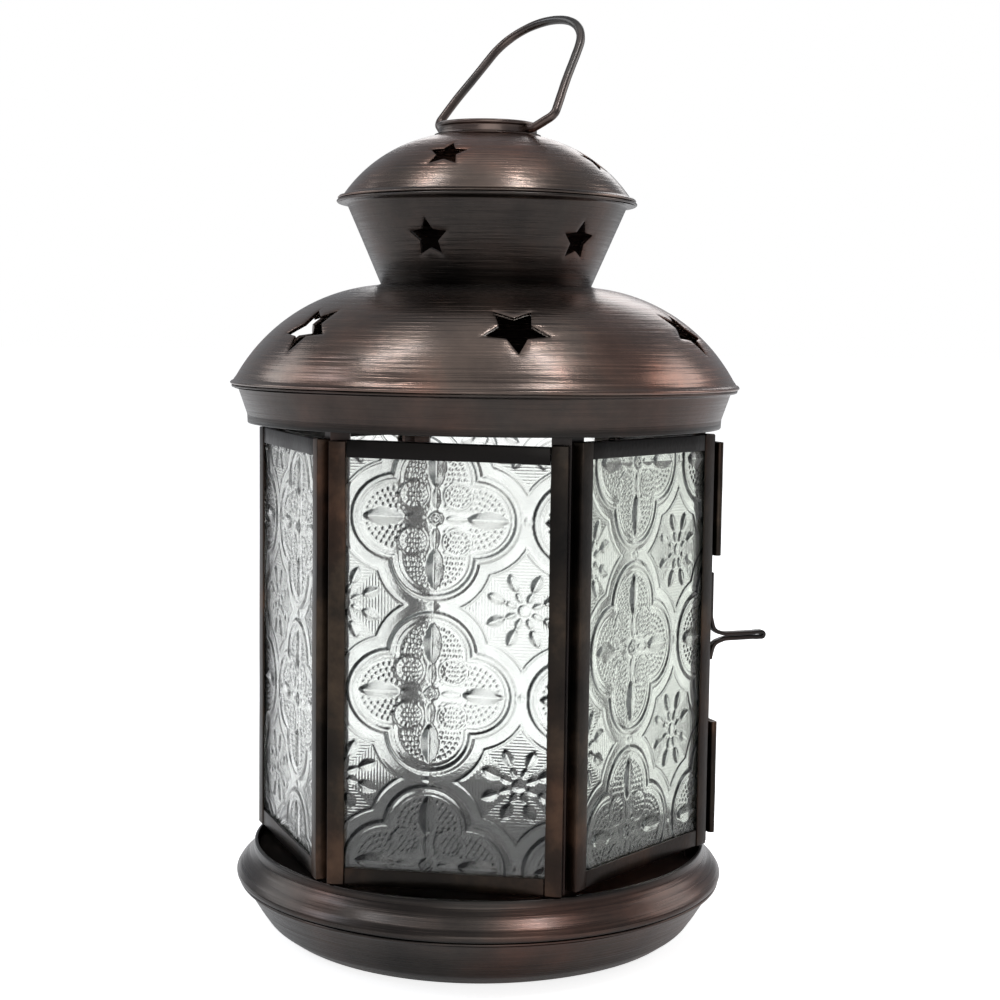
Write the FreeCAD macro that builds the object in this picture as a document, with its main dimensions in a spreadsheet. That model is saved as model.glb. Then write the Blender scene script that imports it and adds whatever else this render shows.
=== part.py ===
import FreeCAD, Part
import math
import os
import Sketcher

# Six-sided candle lantern. Millimetres, +Z up, origin at the centre of the base's flat foot.
# An azimuth of 0 degrees faces -Y, and it grows towards +X.

SIZES = (
    # spun sheet metal
    ("gauge", 0.8, "thickness of the spun sheet"),
    # base dish and ring
    ("foot_radius", 46.8, "flat round foot that the lantern stands on"),
    ("bowl_radius", 55.3, "outside of the bowl where its round foot ends"),
    ("bowl_rise", 5.8, "height of that place"),
    ("bowl_round", 11.5, "radius of the round from foot to bowl"),
    ("dish_radius", 60.9, "outside of the dish under its flange"),
    ("dish_top", 13.2, "underside of the dish's flange"),
    ("bead_radius", 61.5, "widest place of the base, the seam's bead"),
    ("ring_waist_radius", 57.6, "outside of the ring where the hollow curve ends"),
    ("ring_waist_rise", 19.6, "height of that place"),
    ("ring_hollow", 6.4, "radius of the hollow curve"),
    ("rim_radius", 57.2, "outside of the rim"),
    ("rim_top", 22.6, "top of the rim"),
    ("floor_radius", 56.4, "floor plate and the wall that it fits in"),
    ("floor_top", 20.6, "top of the floor plate"),
    # candle cup
    ("cup_radius", 20.8, "outside of the cup, for a tea light of 38 to 40 mm"),
    ("cup_tall", 9.0, "height of the cup"),
    ("cup_gauge", 0.6, "thickness of the cup's sheet"),
    ("cup_hem", 0.5, "how far the cup's hem stands out"),
    ("rivet_radius", 1.5, "shank of the rivet that holds the cup"),
    ("rivet_head_radius", 3.0, "head of the rivet"),
    ("rivet_head_tall", 0.9, "height of each rivet head"),
    ("rivet_crown_radius", 1.65, "flat crown of a rivet head"),
    # six-sided cage
    ("cage_radius", 59.1, "centre to corner of the hexagon of the panels' outer faces"),
    ("front_azimuth", 351.31, "azimuth of the front panel's normal, degrees"),
    ("frame_wide", 55.0, "width of a panel frame"),
    ("frame_tall", 103.2, "height of a panel frame"),
    ("frame_base", 23.3, "bottom of the frames"),
    ("strip_wide", 4.0, "face width of the folded strip"),
    ("frame_deep", 3.0, "depth of a fixed frame"),
    ("door_deep", 2.85, "depth of the door's frame"),
    ("slot_wide", 2.0, "groove for the glass"),
    ("slot_deep", 2.5, "how far the glass goes into the groove"),
    ("glass_thick", 1.8, "thickness of the glass"),
    ("post_leg", 4.6, "leg of a corner post's angle"),
    ("post_gauge", 0.8, "thickness of a corner post"),
    ("post_top", 129.0, "top of the corner posts and underside of the head ring"),
    # door hardware
    ("knuckle_radius", 1.5, "outside of a hinge knuckle"),
    ("pin_radius", 0.7, "hinge pin"),
    ("pin_clearance", 0.05, "room round the pin in the door's knuckle"),
    ("pin_head_tall", 0.6, "height of a hinge pin's head"),
    ("knuckle_tall", 5.0, "height of one knuckle"),
    ("knuckle_gap", 0.2, "gap between two knuckles"),
    ("leaf_wide", 5.2, "width of a hinge leaf"),
    ("leaf_thick", 0.8, "thickness of a hinge leaf"),
    ("hinge_low", 36.0, "bottom of the lower hinge"),
    ("hinge_high", 103.0, "bottom of the upper hinge"),
    ("lip_tall", 28.4, "length of a closing lip"),
    ("lip_wide", 5.3, "width of a closing lip"),
    ("lip_thick", 1.9, "thickness of the folded lip"),
    ("lip_low", 25.7, "bottom of the lower lip"),
    ("lip_high", 96.2, "bottom of the upper lip"),
    ("lip_reach", 1.3, "how far a lip stands past the stile, over the corner's gap"),
    ("pull_rise", 75.3, "height of the pull's tongue"),
    ("pull_reach", 16.4, "door face to the tip of the pull"),
    ("pull_half", 1.15, "half the thickness of the doubled tongue"),
    ("pull_gauge", 1.1, "thickness of one leg of the pull"),
    ("pull_wide", 2.4, "width of the pull"),
    ("foot_up", 16.5, "pull's upper leg, above the tongue"),
    ("foot_down", 14.5, "pull's lower leg, below the tongue"),
    ("pull_root", 3.3, "where a leg leaves the door's face, from the tongue's middle"),
    ("pull_bend", 3.4, "radius of a leg's bend"),
    ("pull_outer_root", 4.15, "where a leg's outer side starts its bend, from the tongue's middle"),
    ("pull_inner_half", 0.35, "half the gap between the legs where their bends end"),
    ("pull_inner_reach", 2.7, "door face to where the legs' inner bends end"),
    ("pull_split", 6.0, "door face to where the two legs meet"),
    ("eye_long", 2.0, "length of the eye at the pull's tip"),
    ("eye_half", 0.35, "half the height of the eye"),
    # roof
    ("skirt_base", 128.0, "bottom of the skirt"),
    ("skirt_hem_radius", 59.2, "outside of the skirt's upright hem"),
    ("skirt_hem_top", 130.2, "top of the upright hem"),
    ("skirt_radius", 61.5, "outside of the skirt under its flange"),
    ("skirt_top", 136.8, "underside of the skirt's flange"),
    ("eave_radius", 63.5, "eave flange, the widest place of the lantern"),
    ("head_ring_bore", 46.0, "hole in the head ring, radius"),
    ("dome_round", 44.2, "radius of the lower dome's curve"),
    ("dome_centre_radius", 23.3, "centre of that curve from the axis"),
    ("dome_centre_rise", 118.3, "height of the curve's centre"),
    ("spigot_radius", 25.4, "outside of the dome's spigot"),
    ("spigot_top", 164.6, "top of the dome's spigot"),
    ("neck_base", 162.5, "bottom of the neck"),
    ("neck_radius", 34.9, "outside of the neck under its flange"),
    ("neck_top", 182.6, "underside of the neck's flange"),
    ("brim_radius", 37.5, "flange between neck and cap"),
    ("cap_round", 35.03, "radius of the cap's curve"),
    ("cap_centre_radius", 6.86, "centre of that curve from the axis"),
    ("cap_centre_rise", 164.83, "height of the curve's centre"),
    ("cap_flat_radius", 14.0, "flat on top of the cap, radius"),
    ("collar_radius", 12.2, "outside of the vent collar"),
    ("collar_foot_radius", 13.6, "collar's foot flange"),
    ("collar_foot_thick", 0.4, "thickness of the foot flange"),
    ("collar_top", 202.7, "top of the vent collar"),
    ("collar_roll", 0.5, "how far the collar's rolled rim stands out"),
    # star openings
    ("dome_star_tip", 8.0, "centre to point of a dome star"),
    ("dome_star_valley", 4.0, "centre to valley of a dome star"),
    ("dome_star_count", 6, "stars in the dome"),
    ("dome_star_azimuth", 8.0, "azimuth of the first dome star"),
    ("dome_star_tilt", 49.5, "how far a dome star faces up, degrees"),
    ("neck_star_tip", 5.1, "centre to point of a neck star"),
    ("neck_star_valley", 2.6, "centre to valley of a neck star"),
    ("neck_star_count", 5, "stars in the neck"),
    ("neck_star_azimuth", 334.0, "azimuth of the first neck star"),
    ("neck_star_rise", 173.0, "height of the neck stars"),
    ("cap_star_tip", 5.2, "centre to point of a cap star"),
    ("cap_star_valley", 2.6, "centre to valley of a cap star"),
    ("cap_star_count", 4, "stars in the cap"),
    ("cap_star_azimuth", 340.0, "azimuth of the first cap star"),
    ("cap_star_tilt", 54.0, "how far a cap star faces up, degrees"),
    # bail handle
    ("wire_radius", 1.1, "bail wire"),
    ("bail_clearance", 0.07, "room round the wire in the collar's holes"),
    ("bail_azimuth", 50.0, "azimuth of the bail's hinge line, degrees"),
    ("bail_tilt", 39.0, "how far the resting bail leans from upright, degrees"),
    ("bail_rise", 200.7, "height of the bail's hinge line"),
    ("bail_end", 9.4, "axis to the end of the wire inside the collar"),
    ("bail_exit", 14.3, "axis to the first bend, outside the collar"),
    ("bail_kink", 19.0, "axis to the second bend"),
    ("bail_kink_rise", 4.2, "rise of the second bend over the hinge line"),
    ("bail_arch", 14.6, "radius of the arch"),
    ("bail_apex", 99.6, "rise of the place where the two legs' lines would meet"),
    ("bail_bend", 2.6, "radius of the two small bends"),
)

doc = FreeCAD.newDocument("candle_lantern")
sheet = doc.addObject("Spreadsheet::Sheet", "Sizes")
for row, (alias, value, meaning) in enumerate(SIZES, start=1):
    sheet.set("A%d" % row, meaning)
    sheet.set("B%d" % row, str(value))
    sheet.setAlias("B%d" % row, alias)
doc.recompute()


class Size:
    """A length with its number now and the sheet expression that it comes from."""

    def __init__(self, value, text):
        self.value = value
        self.text = text

    def __add__(self, other):
        other = as_size(other)
        return Size(self.value + other.value, "(%s + %s)" % (self.text, other.text))

    def __sub__(self, other):
        other = as_size(other)
        return Size(self.value - other.value, "(%s - %s)" % (self.text, other.text))

    def __mul__(self, other):
        other = as_size(other)
        return Size(self.value * other.value, "(%s * %s)" % (self.text, other.text))

    def __neg__(self):
        return self * -1


def as_size(number):
    if isinstance(number, Size):
        return number
    return Size(float(number), "(%.9f)" % number)


def size(alias):
    return Size(float(sheet.get(alias)), "Sizes." + alias)


def root(amount):
    """Square root of a size."""
    return Size(math.sqrt(amount.value), "sqrt(%s)" % amount.text)


# ---------------------------------------------------------------- drawing helpers


def origin_plane(body, role):
    return [feature for feature in body.Origin.OriginFeatures if feature.Role == role][0]


def add_sketch(body, name, role):
    sketch = body.newObject("Sketcher::SketchObject", name)
    sketch.AttachmentSupport = [(origin_plane(body, role), "")]
    sketch.MapMode = "FlatFace"
    return sketch


def end_at(sketch, edge, spot):
    """Which end of a line or arc lies at the spot: 1 for its start, 2 for its end."""
    ends = [sketch.getPoint(edge, end).distanceToPoint(spot) for end in (1, 2)]
    return 1 if ends[0] < ends[1] else 2


def drive(sketch, constraint, amount):
    index = sketch.addConstraint(constraint)
    sketch.setExpression("Constraints[%d]" % index, amount.text)


def pin_point(sketch, geometry, end, x, y):
    """Ties a point to the sheet, measured from the sketch's origin."""
    for kind, amount, axis in (("DistanceX", x, -2), ("DistanceY", y, -1)):
        if abs(amount.value) < 1e-9:
            sketch.addConstraint(Sketcher.Constraint("PointOnObject", geometry, end, axis))
        else:
            drive(sketch, Sketcher.Constraint(kind, -1, 1, geometry, end, amount.value), amount)


def arc_between(start, end, radius, bulge):
    """Arc from start to end; bulge is 1 to swell to the right of the way, or -1 to the left."""
    chord = end.sub(start)
    half = chord.Length / 2
    sagitta = radius - math.sqrt(max(radius * radius - half * half, 0.0))
    right = FreeCAD.Vector(chord.y, -chord.x, 0).normalize()
    middle = start.add(end).multiply(0.5).add(right.multiply(bulge * sagitta))
    return Part.Arc(start, middle, end)


def outline(sketch, corners, arcs=None):
    """A closed outline. arcs maps a segment's number to (radius, bulge); half circles are allowed."""
    arcs = arcs or {}
    corners = [(as_size(x), as_size(y)) for x, y in corners]
    spots = [FreeCAD.Vector(x.value, y.value, 0) for x, y in corners]
    first = sketch.GeometryCount
    count = len(corners)
    for number in range(count):
        start = spots[number]
        end = spots[(number + 1) % count]
        if number in arcs:
            radius, bulge = arcs[number]
            sketch.addGeometry(arc_between(start, end, radius.value, bulge), False)
        else:
            sketch.addGeometry(Part.LineSegment(start, end), False)
    for number in range(count):
        here = first + number
        before = first + (number - 1) % count
        near = end_at(sketch, here, spots[number])
        far = end_at(sketch, before, spots[number])
        sketch.addConstraint(Sketcher.Constraint("Coincident", before, far, here, near))
        pin_point(sketch, here, near, *corners[number])
    for number, (radius, bulge) in arcs.items():
        chord = spots[(number + 1) % count].sub(spots[number])
        x, y = corners[number]
        if chord.Length < 1.999 * radius.value:
            drive(sketch, Sketcher.Constraint("Radius", first + number, radius.value), radius)
        elif abs(chord.x) < abs(chord.y):
            drive(sketch, Sketcher.Constraint("DistanceX", -1, 1, first + number, 3, x.value), x)
        else:
            drive(sketch, Sketcher.Constraint("DistanceY", -1, 1, first + number, 3, y.value), y)


def rectangle(sketch, half_wide, low, high):
    outline(sketch, ((-half_wide, low), (half_wide, low), (half_wide, high), (-half_wide, high)))


def new_body(label):
    body = doc.addObject("PartDesign::Body", label)
    body.Label = label
    return body


def spin(body, corners, arcs=None):
    """Turns an outline of (radius, height) corners about the vertical axis."""
    sketch = add_sketch(body, body.Label + "_profile", "XZ_Plane")
    outline(sketch, corners, arcs)
    turned = body.newObject("PartDesign::Revolution", body.Label + "_turned")
    turned.Profile = sketch
    turned.ReferenceAxis = (sketch, ["V_Axis"])
    turned.Angle = 360
    doc.recompute()
    return body


def spun(label, corners, arcs=None):
    return spin(new_body(label), corners, arcs)


def pad(body, sketch, amount, both_ways=False):
    feature = body.newObject("PartDesign::Pad", body.Label + "_pad")
    feature.Profile = sketch
    feature.SideType = "Symmetric" if both_ways else "One side"
    feature.setExpression("Length", amount.text)
    doc.recompute()
    if not feature.isValid():
        raise RuntimeError("%s failed" % feature.Name)
    return feature


def pocket(body, sketch, name, amount, both_ways=False):
    """Cuts a sketch into a body and stops if nothing was cut."""
    before = body.Shape.Volume
    feature = body.newObject("PartDesign::Pocket", name)
    feature.Profile = sketch
    feature.SideType = "Symmetric" if both_ways else "One side"
    feature.setExpression("Length", amount.text)
    doc.recompute()
    if feature.Shape.Volume > before - 1e-3:
        raise RuntimeError("%s cuts nothing" % name)
    return feature


def face_azimuth(item, azimuth, along=0.0, out=0.0, rise=0.0):
    """Turns an item that was made facing -Y to an azimuth and sets it along, out of and up its face."""
    turn = FreeCAD.Rotation(FreeCAD.Vector(0, 0, 1), azimuth)
    shift = turn.multVec(FreeCAD.Vector(along, -out, rise))
    item.Placement = FreeCAD.Placement(shift, turn)


# ---------------------------------------------------------------- shared sizes

gauge = size("gauge")
APOTHEM = size("cage_radius") * math.cos(math.radians(30))
HALF_SIDE = size("cage_radius") * 0.5
PANEL_AZIMUTHS = [size("front_azimuth").value + 60 * side for side in range(6)]
DOOR_SIDE = 2
HINGE_SIDE = 3
SIDE_NAMES = ("front", "front_right", "door", "back", "back_left", "front_left")


# ---------------------------------------------------------------- base


def make_base_dish():
    """Shallow spun dish with a flat foot and an out-turned flange at its top."""
    foot = size("foot_radius")
    corners = (
        (0, 0),
        (foot, 0),
        (size("bowl_radius"), size("bowl_rise")),
        (size("dish_radius") - gauge, size("dish_top")),
        (size("dish_radius"), size("dish_top")),
        (size("dish_radius"), size("dish_top") + gauge),
        (size("dish_radius") - gauge * 2, size("dish_top") + gauge),
        (size("bowl_radius") - gauge, size("bowl_rise") + gauge * 0.6),
        (foot, gauge),
        (0, gauge),
    )
    arcs = {1: (size("bowl_round"), 1), 7: (size("bowl_round"), -1)}
    return spun("base_dish", corners, arcs)


def make_base_ring():
    """Upper ring of the base: bead at the seam, hollow curve and upright rim."""
    seam = size("dish_top") + gauge
    bead = size("bead_radius")
    corners = (
        (bead - gauge * 2.5, seam),
        (bead, seam),
        (bead, seam + gauge),
        (size("ring_waist_radius"), size("ring_waist_rise")),
        (size("rim_radius"), size("ring_waist_rise") + gauge),
        (size("rim_radius"), size("rim_top")),
        (size("floor_radius"), size("rim_top")),
        (size("floor_radius"), size("ring_waist_rise")),
        (bead - gauge * 2.5, seam + gauge),
    )
    arcs = {2: (size("ring_hollow"), -1)}
    return spun("base_ring", corners, arcs)


def make_floor_plate():
    """Flat disc inside the rim, with the rivet's hole at its centre."""
    top = size("floor_top")
    corners = (
        (size("rivet_radius"), top - gauge),
        (size("floor_radius"), top - gauge),
        (size("floor_radius"), top),
        (size("rivet_radius"), top),
    )
    return spun("floor_plate", corners)


def make_candle_cup():
    """Low cup that a tea light stands in."""
    low = size("floor_top")
    outer = size("cup_radius")
    thin = size("cup_gauge")
    high = low + size("cup_tall")
    hem = size("cup_hem")
    corners = (
        (size("rivet_radius"), low),
        (outer, low),
        (outer, high - thin),
        (outer + hem, high - thin),
        (outer + hem, high),
        (outer - thin, high),
        (outer - thin, low + thin),
        (size("rivet_radius"), low + thin),
    )
    return spun("candle_cup", corners)


def make_cup_rivet():
    """Rivet through cup and floor plate, with a bevelled head at each end."""
    shank = size("rivet_radius")
    head = size("rivet_head_radius")
    crown = size("rivet_crown_radius")
    tall = size("rivet_head_tall")
    low = size("floor_top") - gauge
    high = size("floor_top") + size("cup_gauge")
    corners = (
        (0, low - tall),
        (crown, low - tall),
        (head, low),
        (shank, low),
        (shank, high),
        (head, high),
        (crown, high + tall),
        (0, high + tall),
    )
    return spun("cup_rivet", corners)


# ---------------------------------------------------------------- cage


def make_corner_post(number, azimuth):
    """Upright angle behind the gap between two panels, from the floor plate to the head ring."""
    body = new_body("corner_post_%d" % number)
    sketch = add_sketch(body, body.Label + "_angle", "XY_Plane")
    apex = (APOTHEM - size("frame_deep")) * (1 / math.cos(math.radians(30)))
    along = FreeCAD.Vector(math.cos(math.radians(30)), math.sin(math.radians(30)), 0)
    inward = FreeCAD.Vector(-math.sin(math.radians(30)), math.cos(math.radians(30)), 0)
    leg = size("post_leg")
    thick = size("post_gauge")
    outer = (leg * along.x, -apex + leg * along.y)
    inner = (outer[0] + thick * inward.x, outer[1] + thick * inward.y)
    inner_apex = -apex + thick * (1 / math.cos(math.radians(30)))
    corners = (
        (0, -apex),
        outer,
        inner,
        (0, inner_apex),
        (-inner[0], inner[1]),
        (-outer[0], outer[1]),
    )
    outline(sketch, corners)
    pad(body, sketch, size("post_top") - size("floor_top"))
    face_azimuth(body, azimuth, rise=size("floor_top").value)
    return body


def make_frame(label, azimuth, deep):
    """Strip folded round a pane: a ring of U-section with its groove towards the glass."""
    body = new_body(label)
    half_wide = size("frame_wide") * 0.5
    tall = size("frame_tall")
    strip = size("strip_wide")
    ring = add_sketch(body, label + "_ring", "XZ_Plane")
    rectangle(ring, half_wide, as_size(0), tall)
    rectangle(ring, half_wide - strip, strip, tall - strip)
    pad(body, ring, deep)
    groove = add_sketch(body, label + "_groove", "XZ_Plane")
    groove.AttachmentOffset = FreeCAD.Placement(
        FreeCAD.Vector(0, 0, (deep.value + size("slot_wide").value) / 2), FreeCAD.Rotation()
    )
    web = strip - size("slot_deep")
    rectangle(groove, half_wide - web, web, tall - web)
    pocket(body, groove, label + "_slot", size("slot_wide"))
    out = APOTHEM.value - deep.value
    face_azimuth(body, azimuth, out=out, rise=size("frame_base").value)
    return body


def make_pane(label, azimuth, deep):
    """Glass pane that sits in its frame's groove."""
    body = new_body(label)
    sketch = add_sketch(body, label + "_face", "XZ_Plane")
    web = size("strip_wide") - size("slot_deep")
    rectangle(sketch, size("frame_wide") * 0.5 - web, web, size("frame_tall") - web)
    pad(body, sketch, size("glass_thick"))
    out = APOTHEM.value - deep.value + (deep.value - size("glass_thick").value) / 2
    face_azimuth(body, azimuth, out=out, rise=size("frame_base").value)
    return body


# ---------------------------------------------------------------- door hardware


def make_hinge_leaf(label, azimuth, hand, low, room):
    """Knuckle with a flat leaf on the panel's outer face. hand is 1 where the leaf runs to the right."""
    tube = doc.addObject("Part::Cylinder", label + "_tube")
    tube.setExpression("Radius", size("knuckle_radius").text)
    tube.setExpression("Height", size("knuckle_tall").text)
    leaf = doc.addObject("Part::Box", label + "_leaf")
    leaf.setExpression("Length", size("leaf_wide").text)
    leaf.setExpression("Width", size("leaf_thick").text)
    leaf.setExpression("Height", size("knuckle_tall").text)
    left = 0.0 if hand > 0 else -size("leaf_wide").value
    leaf.Placement = FreeCAD.Placement(
        FreeCAD.Vector(left, -size("leaf_thick").value, 0), FreeCAD.Rotation()
    )
    bore = doc.addObject("Part::Cylinder", label + "_bore")
    bore.setExpression("Radius", (size("pin_radius") + room).text)
    bore.setExpression("Height", size("knuckle_tall").text)
    body = doc.addObject("Part::Fuse", label + "_blank")
    body.Base = tube
    body.Tool = leaf
    leaf_with_hole = doc.addObject("Part::Cut", label)
    leaf_with_hole.Base = body
    leaf_with_hole.Tool = bore
    leaf_with_hole.Label = label
    face_azimuth(
        leaf_with_hole, azimuth, along=-hand * HALF_SIDE.value, out=APOTHEM.value, rise=low.value
    )
    return leaf_with_hole


def make_hinge_pin(label, low):
    """Short pin with a small head on top, held by the lower, fixed knuckle."""
    shank = size("pin_radius")
    tall = size("knuckle_tall") * 2 + size("knuckle_gap") * 2
    head = size("knuckle_radius")
    corners = (
        (0, -size("knuckle_gap")),
        (shank, -size("knuckle_gap")),
        (shank, tall),
        (head, tall),
        (head, tall + size("pin_head_tall")),
        (0, tall + size("pin_head_tall")),
    )
    body = spun(label, corners)
    face_azimuth(
        body,
        PANEL_AZIMUTHS[DOOR_SIDE],
        along=HALF_SIDE.value,
        out=APOTHEM.value,
        rise=low.value,
    )
    return body


def make_door_lip(label, low):
    """Strip folded double along the closing stile; its fold stands over the corner's gap."""
    body = new_body(label)
    sketch = add_sketch(body, label + "_section", "XY_Plane")
    thick = size("lip_thick")
    fold = thick * 0.5
    wide = size("lip_wide")
    corners = ((fold, -thick), (wide, -thick), (wide, 0), (fold, 0))
    arcs = {3: (fold, 1)}
    outline(sketch, corners, arcs)
    pad(body, sketch, size("lip_tall"))
    stile_edge = size("frame_wide").value / 2
    face_azimuth(
        body,
        PANEL_AZIMUTHS[DOOR_SIDE],
        along=-stile_edge - size("lip_reach").value,
        out=APOTHEM.value,
        rise=low.value,
    )
    return body


def make_door_pull():
    """Split pull: two legs lie up and down the stile, bend out and meet in a doubled tongue."""
    body = new_body("door_pull")
    profile = add_sketch(body, "door_pull_profile", "XZ_Plane")
    half = size("pull_half")
    leg = size("pull_gauge")
    bend = size("pull_bend")
    root_rise = size("pull_root")
    tip = size("pull_reach") - half
    outer_bend = size("pull_outer_root")
    bend_end = leg + outer_bend - half
    inner_meet = size("pull_split")
    inner_reach = size("pull_inner_reach")
    inner_half = size("pull_inner_half")
    corners = (
        (0, -size("foot_down")),
        (leg, -size("foot_down")),
        (leg, -outer_bend),
        (bend_end, -half),
        (tip, -half),
        (tip, half),
        (bend_end, half),
        (leg, outer_bend),
        (leg, size("foot_up")),
        (0, size("foot_up")),
        (0, root_rise),
        (inner_reach, inner_half),
        (inner_meet, 0),
        (inner_reach, -inner_half),
        (0, -root_rise),
    )
    arcs = {
        2: (bend, -1),
        4: (half, 1),
        6: (bend, -1),
        10: (bend, 1),
        13: (bend, 1),
    }
    outline(profile, corners, arcs)
    pad(body, profile, size("pull_wide"), both_ways=True)
    eye = add_sketch(body, "door_pull_eye", "XZ_Plane")
    eye_half = size("eye_half")
    eye_end = tip
    eye_start = tip - size("eye_long") + eye_half
    eye_corners = (
        (eye_start, -eye_half),
        (eye_end, -eye_half),
        (eye_end, eye_half),
        (eye_start, eye_half),
    )
    outline(eye, eye_corners, {1: (eye_half, 1), 3: (eye_half, 1)})
    pocket(body, eye, "door_pull_eye_cut", size("pull_wide") * 2, both_ways=True)
    turn = PANEL_AZIMUTHS[DOOR_SIDE]
    strip_middle = (size("frame_wide").value - size("strip_wide").value) / 2
    outward = FreeCAD.Rotation(FreeCAD.Vector(0, 0, 1), turn - 90)
    facing = FreeCAD.Rotation(FreeCAD.Vector(0, 0, 1), turn)
    spot = FreeCAD.Vector(-strip_middle, -APOTHEM.value, size("pull_rise").value)
    body.Placement = FreeCAD.Placement(facing.multVec(spot), outward)
    return body


# ---------------------------------------------------------------- roof


def make_head_ring():
    """Flat washer inside the skirt's hem that ties the corner posts to the roof."""
    low = size("post_top")
    outer = size("skirt_hem_radius") - gauge
    bore = size("head_ring_bore")
    corners = ((bore, low), (outer, low), (outer, low + gauge), (bore, low + gauge))
    return spun("head_ring", corners)


def make_skirt_ring():
    """Round skirt under the eave: upright hem, flare and out-turned flange."""
    low = size("skirt_base")
    hem = size("skirt_hem_radius")
    wide = size("skirt_radius")
    top = size("skirt_top")
    flange = size("eave_radius") - gauge * 0.5
    corners = (
        (hem - gauge, low),
        (hem, low),
        (hem, size("skirt_hem_top")),
        (wide, top),
        (flange, top),
        (flange, top + gauge),
        (wide - gauge, top + gauge),
        (hem - gauge, size("skirt_hem_top")),
    )
    return spun("skirt_ring", corners)


def on_circle(centre_radius, centre_rise, curve, rise):
    """Radius of a circular profile at a height."""
    up = rise - centre_rise
    return centre_radius + root(curve * curve - up * up)


def star_cut(body, tip, valley, count, radius, rise, tilt, points_down=False):
    """Cuts a ring of five-pointed stars square to the sheet."""
    up = math.radians(tilt)
    plane_out = 3.0
    sketch = add_sketch(body, body.Label + "_star", "XZ_Plane")
    sketch.AttachmentOffset = FreeCAD.Placement(
        FreeCAD.Vector(0, rise + plane_out * math.sin(up), radius + plane_out * math.cos(up)),
        FreeCAD.Rotation(FreeCAD.Vector(1, 0, 0), -tilt),
    )
    first_point = -90 if points_down else 90
    corners = []
    for step in range(10):
        angle = math.radians(first_point + 36 * step)
        reach = valley if step % 2 else tip
        corners.append((reach * math.cos(angle), reach * math.sin(angle)))
    outline(sketch, corners)
    cut = pocket(body, sketch, body.Label + "_star_cut", as_size(2 * plane_out))
    ring = body.newObject("PartDesign::PolarPattern", body.Label + "_stars")
    ring.Originals = [cut]
    ring.Axis = (origin_plane(body, "Z_Axis"), [""])
    ring.Angle = 360
    ring.setExpression("Occurrences", count.text)
    body.Tip = ring
    doc.recompute()


def make_lower_dome():
    """Domed roof with an eave flange, a spigot for the neck and a ring of stars."""
    centre_radius = size("dome_centre_radius")
    centre_rise = size("dome_centre_rise")
    curve = size("dome_round")
    lip_low = size("skirt_top") + gauge
    lip_top = lip_low + gauge
    eave = size("eave_radius")
    spigot = size("spigot_radius")
    outer_foot = on_circle(centre_radius, centre_rise, curve, lip_top)
    inner_foot = on_circle(centre_radius, centre_rise, curve - gauge, lip_low)
    spigot_off = spigot - centre_radius
    outer_crown = centre_rise + root(curve * curve - spigot_off * spigot_off)
    inner_curve = curve - gauge
    inner_off = spigot - gauge - centre_radius
    inner_crown = centre_rise + root(inner_curve * inner_curve - inner_off * inner_off)
    corners = (
        (inner_foot, lip_low),
        (eave, lip_low),
        (eave, lip_top),
        (outer_foot, lip_top),
        (spigot, outer_crown),
        (spigot, size("spigot_top")),
        (spigot - gauge, size("spigot_top")),
        (spigot - gauge, inner_crown),
    )
    arcs = {3: (curve, 1), 7: (inner_curve, -1)}
    body = spun("lower_dome", corners, arcs)
    tilt = size("dome_star_tilt").value
    up = math.radians(tilt)
    star_cut(
        body,
        size("dome_star_tip"),
        size("dome_star_valley"),
        size("dome_star_count"),
        centre_radius.value + curve.value * math.cos(up),
        centre_rise.value + curve.value * math.sin(up),
        tilt,
        points_down=True,
    )
    face_azimuth(body, size("dome_star_azimuth").value)
    return body


def make_neck_cone():
    """Flared neck between dome and cap, with a brim at its top and a ring of stars."""
    spigot = size("spigot_radius")
    low = size("neck_base")
    top = size("neck_top")
    wide = size("neck_radius")
    brim = size("brim_radius")
    flare_start = size("spigot_top")
    corners = (
        (spigot, low),
        (spigot + gauge, low),
        (wide, top),
        (brim, top),
        (brim, top + gauge),
        (wide - gauge, top + gauge),
        (spigot, flare_start),
    )
    body = spun("neck_cone", corners)
    rise = size("neck_star_rise").value
    share = (rise - low.value) / (top.value - low.value)
    flare = wide.value - spigot.value - gauge.value
    radius = spigot.value + gauge.value + share * flare
    tilt = -math.degrees(math.atan2(flare, top.value - low.value))
    star_cut(
        body,
        size("neck_star_tip"),
        size("neck_star_valley"),
        size("neck_star_count"),
        radius,
        rise,
        tilt,
    )
    face_azimuth(body, size("neck_star_azimuth").value)
    return body


def make_cap_dome():
    """Small dome on the neck's brim, open at its flat top for the vent collar."""
    centre_radius = size("cap_centre_radius")
    centre_rise = size("cap_centre_rise")
    curve = size("cap_round")
    inner_curve = curve - gauge
    lip_low = size("neck_top") + gauge
    lip_top = lip_low + gauge
    brim = size("brim_radius") - gauge * 0.5
    flat = size("cap_flat_radius")
    bore = size("collar_radius") - gauge
    outer_foot = on_circle(centre_radius, centre_rise, curve, lip_top)
    inner_foot = on_circle(centre_radius, centre_rise, inner_curve, lip_low)
    flat_off = flat - centre_radius
    crown = centre_rise + root(curve * curve - flat_off * flat_off)
    inner_crown = centre_rise + root(inner_curve * inner_curve - flat_off * flat_off)
    corners = (
        (inner_foot, lip_low),
        (brim, lip_low),
        (brim, lip_top),
        (outer_foot, lip_top),
        (flat, crown),
        (bore, crown),
        (bore, inner_crown),
        (flat, inner_crown),
    )
    arcs = {3: (curve, 1), 7: (inner_curve, -1)}
    body = spun("cap_dome", corners, arcs)
    tilt = size("cap_star_tilt").value
    up = math.radians(tilt)
    star_cut(
        body,
        size("cap_star_tip"),
        size("cap_star_valley"),
        size("cap_star_count"),
        centre_radius.value + curve.value * math.cos(up),
        centre_rise.value + curve.value * math.sin(up),
        tilt,
    )
    face_azimuth(body, size("cap_star_azimuth").value)
    return body


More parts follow.
